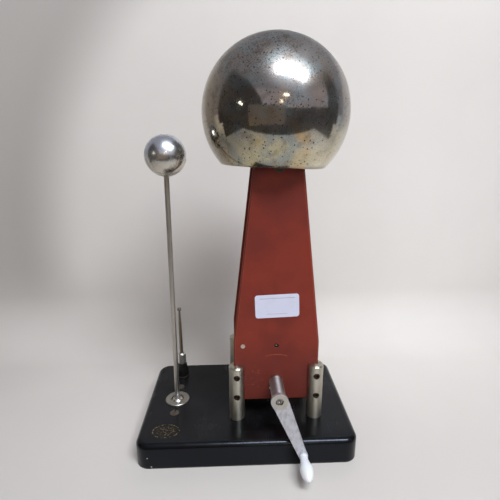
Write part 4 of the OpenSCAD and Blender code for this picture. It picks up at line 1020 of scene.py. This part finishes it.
CARD_RADIUS, CEILING_RADIUS, PANEL_RADIUS = 2.0, 2.3, 0.6
CARD_STEPS, CEILING_ROWS, CEILING_COLUMNS = 10, 16, 48
CEILING_GREY, CEILING_BRIGHT = srgb(156, 153, 157), (1.5, 1.6, 1.8, 1)
WINDOW_AZIMUTH, WINDOW_ELEVATION, WINDOW_TILT = 26, 52, 31  # degrees
WINDOW_HAZE = (1500.0, 300.0)  # where the bright patch round the lamp starts and is full
# Each card's upper edge, as azimuth and elevation in degrees from the dome's middle.
WALL_TOP = ((-36, 29), (9, 27), (29, 24), (80, 26))
DARK_TOP = ((-98, 45), (-81, 45), (-57, 41), (-46, 35), (-34, 25), (-28, 18), (-22, 5), (75, 5),
            (77, 26), (83, 44), (98, 40))
SHELF_TOP = ((-12, 5.6), (46, 4.6))
PANEL_TOP = ((-43, 7), (8, 6))
# Left, right, front and back limits of the pale floor that metal mirrors, and the dark card's height.
MIRRORED_FLOOR, DARK_FLOOR_Z = (-0.62, 0.68, -0.46, 0.02), 0.002


def card_band(name, centre, radius, low, top, colour):
    """A curved card round the centre, from the angle low up to the (azimuth, elevation) line top."""
    verts = []
    for (start, start_high), (end, end_high) in zip(top, top[1:]):
        for step in range(CARD_STEPS + 1):
            part = step / CARD_STEPS
            azimuth = start + (end - start) * part
            for elevation in (low, start_high + (end_high - start_high) * part):
                verts.append(centre + direction(azimuth, elevation) * radius)
    faces = [(i, i + 2, i + 3, i + 1) for i in range(0, len(verts) - 2, 2)]
    mirrored_only(stage_mesh(name, verts, faces, glow(name + "_tone", colour)))


def make_ceiling(centre):
    """A grey half dome over the object, brighter and cooler round the large lamp."""
    made = Finish("ceiling_tone", CEILING_GREY, 1.0)
    window = (centre + direction(WINDOW_AZIMUTH, WINDOW_ELEVATION) * CEILING_RADIUS) / MM
    near = made.span(made.away(window), *WINDOW_HAZE)
    made.shine(made.blend(near, CEILING_GREY, CEILING_BRIGHT))
    verts = [centre + direction(360 * c / CEILING_COLUMNS, 90 * r / CEILING_ROWS) * CEILING_RADIUS
             for r in range(CEILING_ROWS + 1) for c in range(CEILING_COLUMNS)]
    faces = []
    for r in range(CEILING_ROWS):
        for c in range(CEILING_COLUMNS):
            low, high, after = r * CEILING_COLUMNS, (r + 1) * CEILING_COLUMNS, (c + 1) % CEILING_COLUMNS
            faces.append((low + c, low + after, high + after, high + c))
    mirrored_only(stage_mesh("room_ceiling", verts, faces, made.material))


def make_cards(centre):
    """Bands of other tones, each nearer than the last, and a dark floor past the pale one."""
    card_band("room_wall", centre, CARD_RADIUS + 0.1, 0, WALL_TOP, srgb(196, 188, 192))
    card_band("room_dark", centre, CARD_RADIUS, -9, DARK_TOP, srgb(76, 72, 70))
    card_band("room_shelf", centre, CARD_RADIUS - 0.1, 4, SHELF_TOP, srgb(255, 250, 244))
    card_band("room_panel", centre, PANEL_RADIUS, -19, PANEL_TOP, srgb(134, 117, 101))
    left, right, front, back = MIRRORED_FLOOR
    far = FLOOR_HALF
    verts = [(x, y, DARK_FLOOR_Z) for x, y in (
        (left, front), (right, front), (far, -far), (-far, -far),
        (far, back), (right, back), (left, back), (-far, back))]
    faces = [(0, 1, 2, 3), (1, 5, 4, 2), (0, 3, 7, 6)]
    mirrored_only(stage_mesh("room_floor", verts, faces, glow("room_low", srgb(68, 65, 66))))


def lamp(name, centre, azimuth, elevation, distance, width, height, power, colour, tilt=0):
    """An area lamp that looks at the centre, with its width turned by tilt from level."""
    data = bpy.data.lights.new(name, "AREA")
    data.shape = "RECTANGLE"
    data.size, data.size_y = width, height
    data.energy = power
    data.color = colour
    made = added(name, data)
    away = direction(azimuth, elevation)
    made.location = centre + away * distance
    level = Vector((-away.y, away.x, 0)).normalized()
    wide = Matrix.Rotation(math.radians(tilt), 3, -away) @ level
    made.rotation_mode = "QUATERNION"
    made.rotation_quaternion = Matrix((wide, away.cross(wide), away)).transposed().to_quaternion()
    made.visible_camera = False


WINDOW_POWER, WINDOW_AWAY, WINDOW_WIDE, WINDOW_TALL = 16.5, 1.15, 0.76, 0.3
FAR_AWAY, FAR_TALL = 1.8, 0.07
COOL_LIGHT, WARM_LIGHT = (0.93, 0.97, 1.0), (1.0, 0.9, 0.68)
# Azimuth, elevation, width and power of each small lamp.
FAR_LAMPS = ((-58, 11, 0.07, 0.35), (-55, 9, 0.05, 0.25), (10, 20, 0.2, 0.8), (3, 12, 0.07, 0.35))


def make_lamps(centre):
    """A wide soft lamp high on the right, and four small ones far off that glint in the metal."""
    lamp("window", centre, WINDOW_AZIMUTH, WINDOW_ELEVATION, WINDOW_AWAY, WINDOW_WIDE, WINDOW_TALL,
         WINDOW_POWER, COOL_LIGHT, WINDOW_TILT)
    for i, (azimuth, elevation, width, power) in enumerate(FAR_LAMPS):
        lamp(f"far_lamp_{i}", centre, azimuth, elevation, FAR_AWAY, width, FAR_TALL, power, WARM_LIGHT)


SHOWN_TONE, FILL_COLOUR, FILL_STRENGTH = srgb(214, 209, 207), (0.9, 0.95, 1.0, 1), 0.22


def make_world():
    """Pale to the camera and to metal, and a dim even fill for everything else."""
    world = bpy.data.worlds.new("studio")
    bpy.context.scene.world = world
    world.use_nodes = True
    tree = world.node_tree
    shown = tree.nodes["Background"]
    shown.inputs["Color"].default_value = SHOWN_TONE
    fill_light = tree.nodes.new("ShaderNodeBackground")
    fill_light.inputs["Color"].default_value = FILL_COLOUR
    fill_light.inputs["Strength"].default_value = FILL_STRENGTH
    path = tree.nodes.new("ShaderNodeLightPath")
    either = path.outputs["Is Camera Ray"]
    for kind in ("Is Glossy Ray", "Is Transmission Ray"):
        both = tree.nodes.new("ShaderNodeMath")
        both.operation = "MAXIMUM"
        tree.links.new(either, both.inputs[0])
        tree.links.new(path.outputs[kind], both.inputs[1])
        either = both.outputs[0]
    pick = tree.nodes.new("ShaderNodeMixShader")
    tree.links.new(either, pick.inputs[0])
    tree.links.new(fill_light.outputs[0], pick.inputs[1])
    tree.links.new(shown.outputs[0], pick.inputs[2])
    tree.links.new(pick.outputs[0], tree.nodes["World Output"].inputs["Surface"])


CAMERA_PLACE = (-7.587, -331.154, 261.947)
CAMERA_DOWN, CAMERA_RIGHT, CAMERA_ROLL = 14.806, 2.183, -0.223  # degrees
CAMERA_LENS, CAMERA_SENSOR = 27.373, 36.0


def make_camera():
    """The photograph's own viewpoint."""
    data = bpy.data.cameras.new("camera")
    data.sensor_width = CAMERA_SENSOR
    data.lens = CAMERA_LENS
    data.clip_start, data.clip_end = 0.01, 20
    made = added("camera", data)
    turn = (Matrix.Rotation(math.radians(-CAMERA_RIGHT), 4, "Z")
            @ Matrix.Rotation(math.radians(90 - CAMERA_DOWN), 4, "X")
            @ Matrix.Rotation(math.radians(CAMERA_ROLL), 4, "Z"))
    made.matrix_world = Matrix.Translation(Vector(CAMERA_PLACE) * MM) @ turn
    bpy.context.scene.camera = made


dress_nodes()
make_pieces()
make_camera()
make_sweep()
dome_middle = middle("dome") * MM
make_ceiling(dome_middle)
make_cards(dome_middle)
make_lamps(dome_middle)
make_world()
bpy.context.scene.view_settings.view_transform = "Standard"
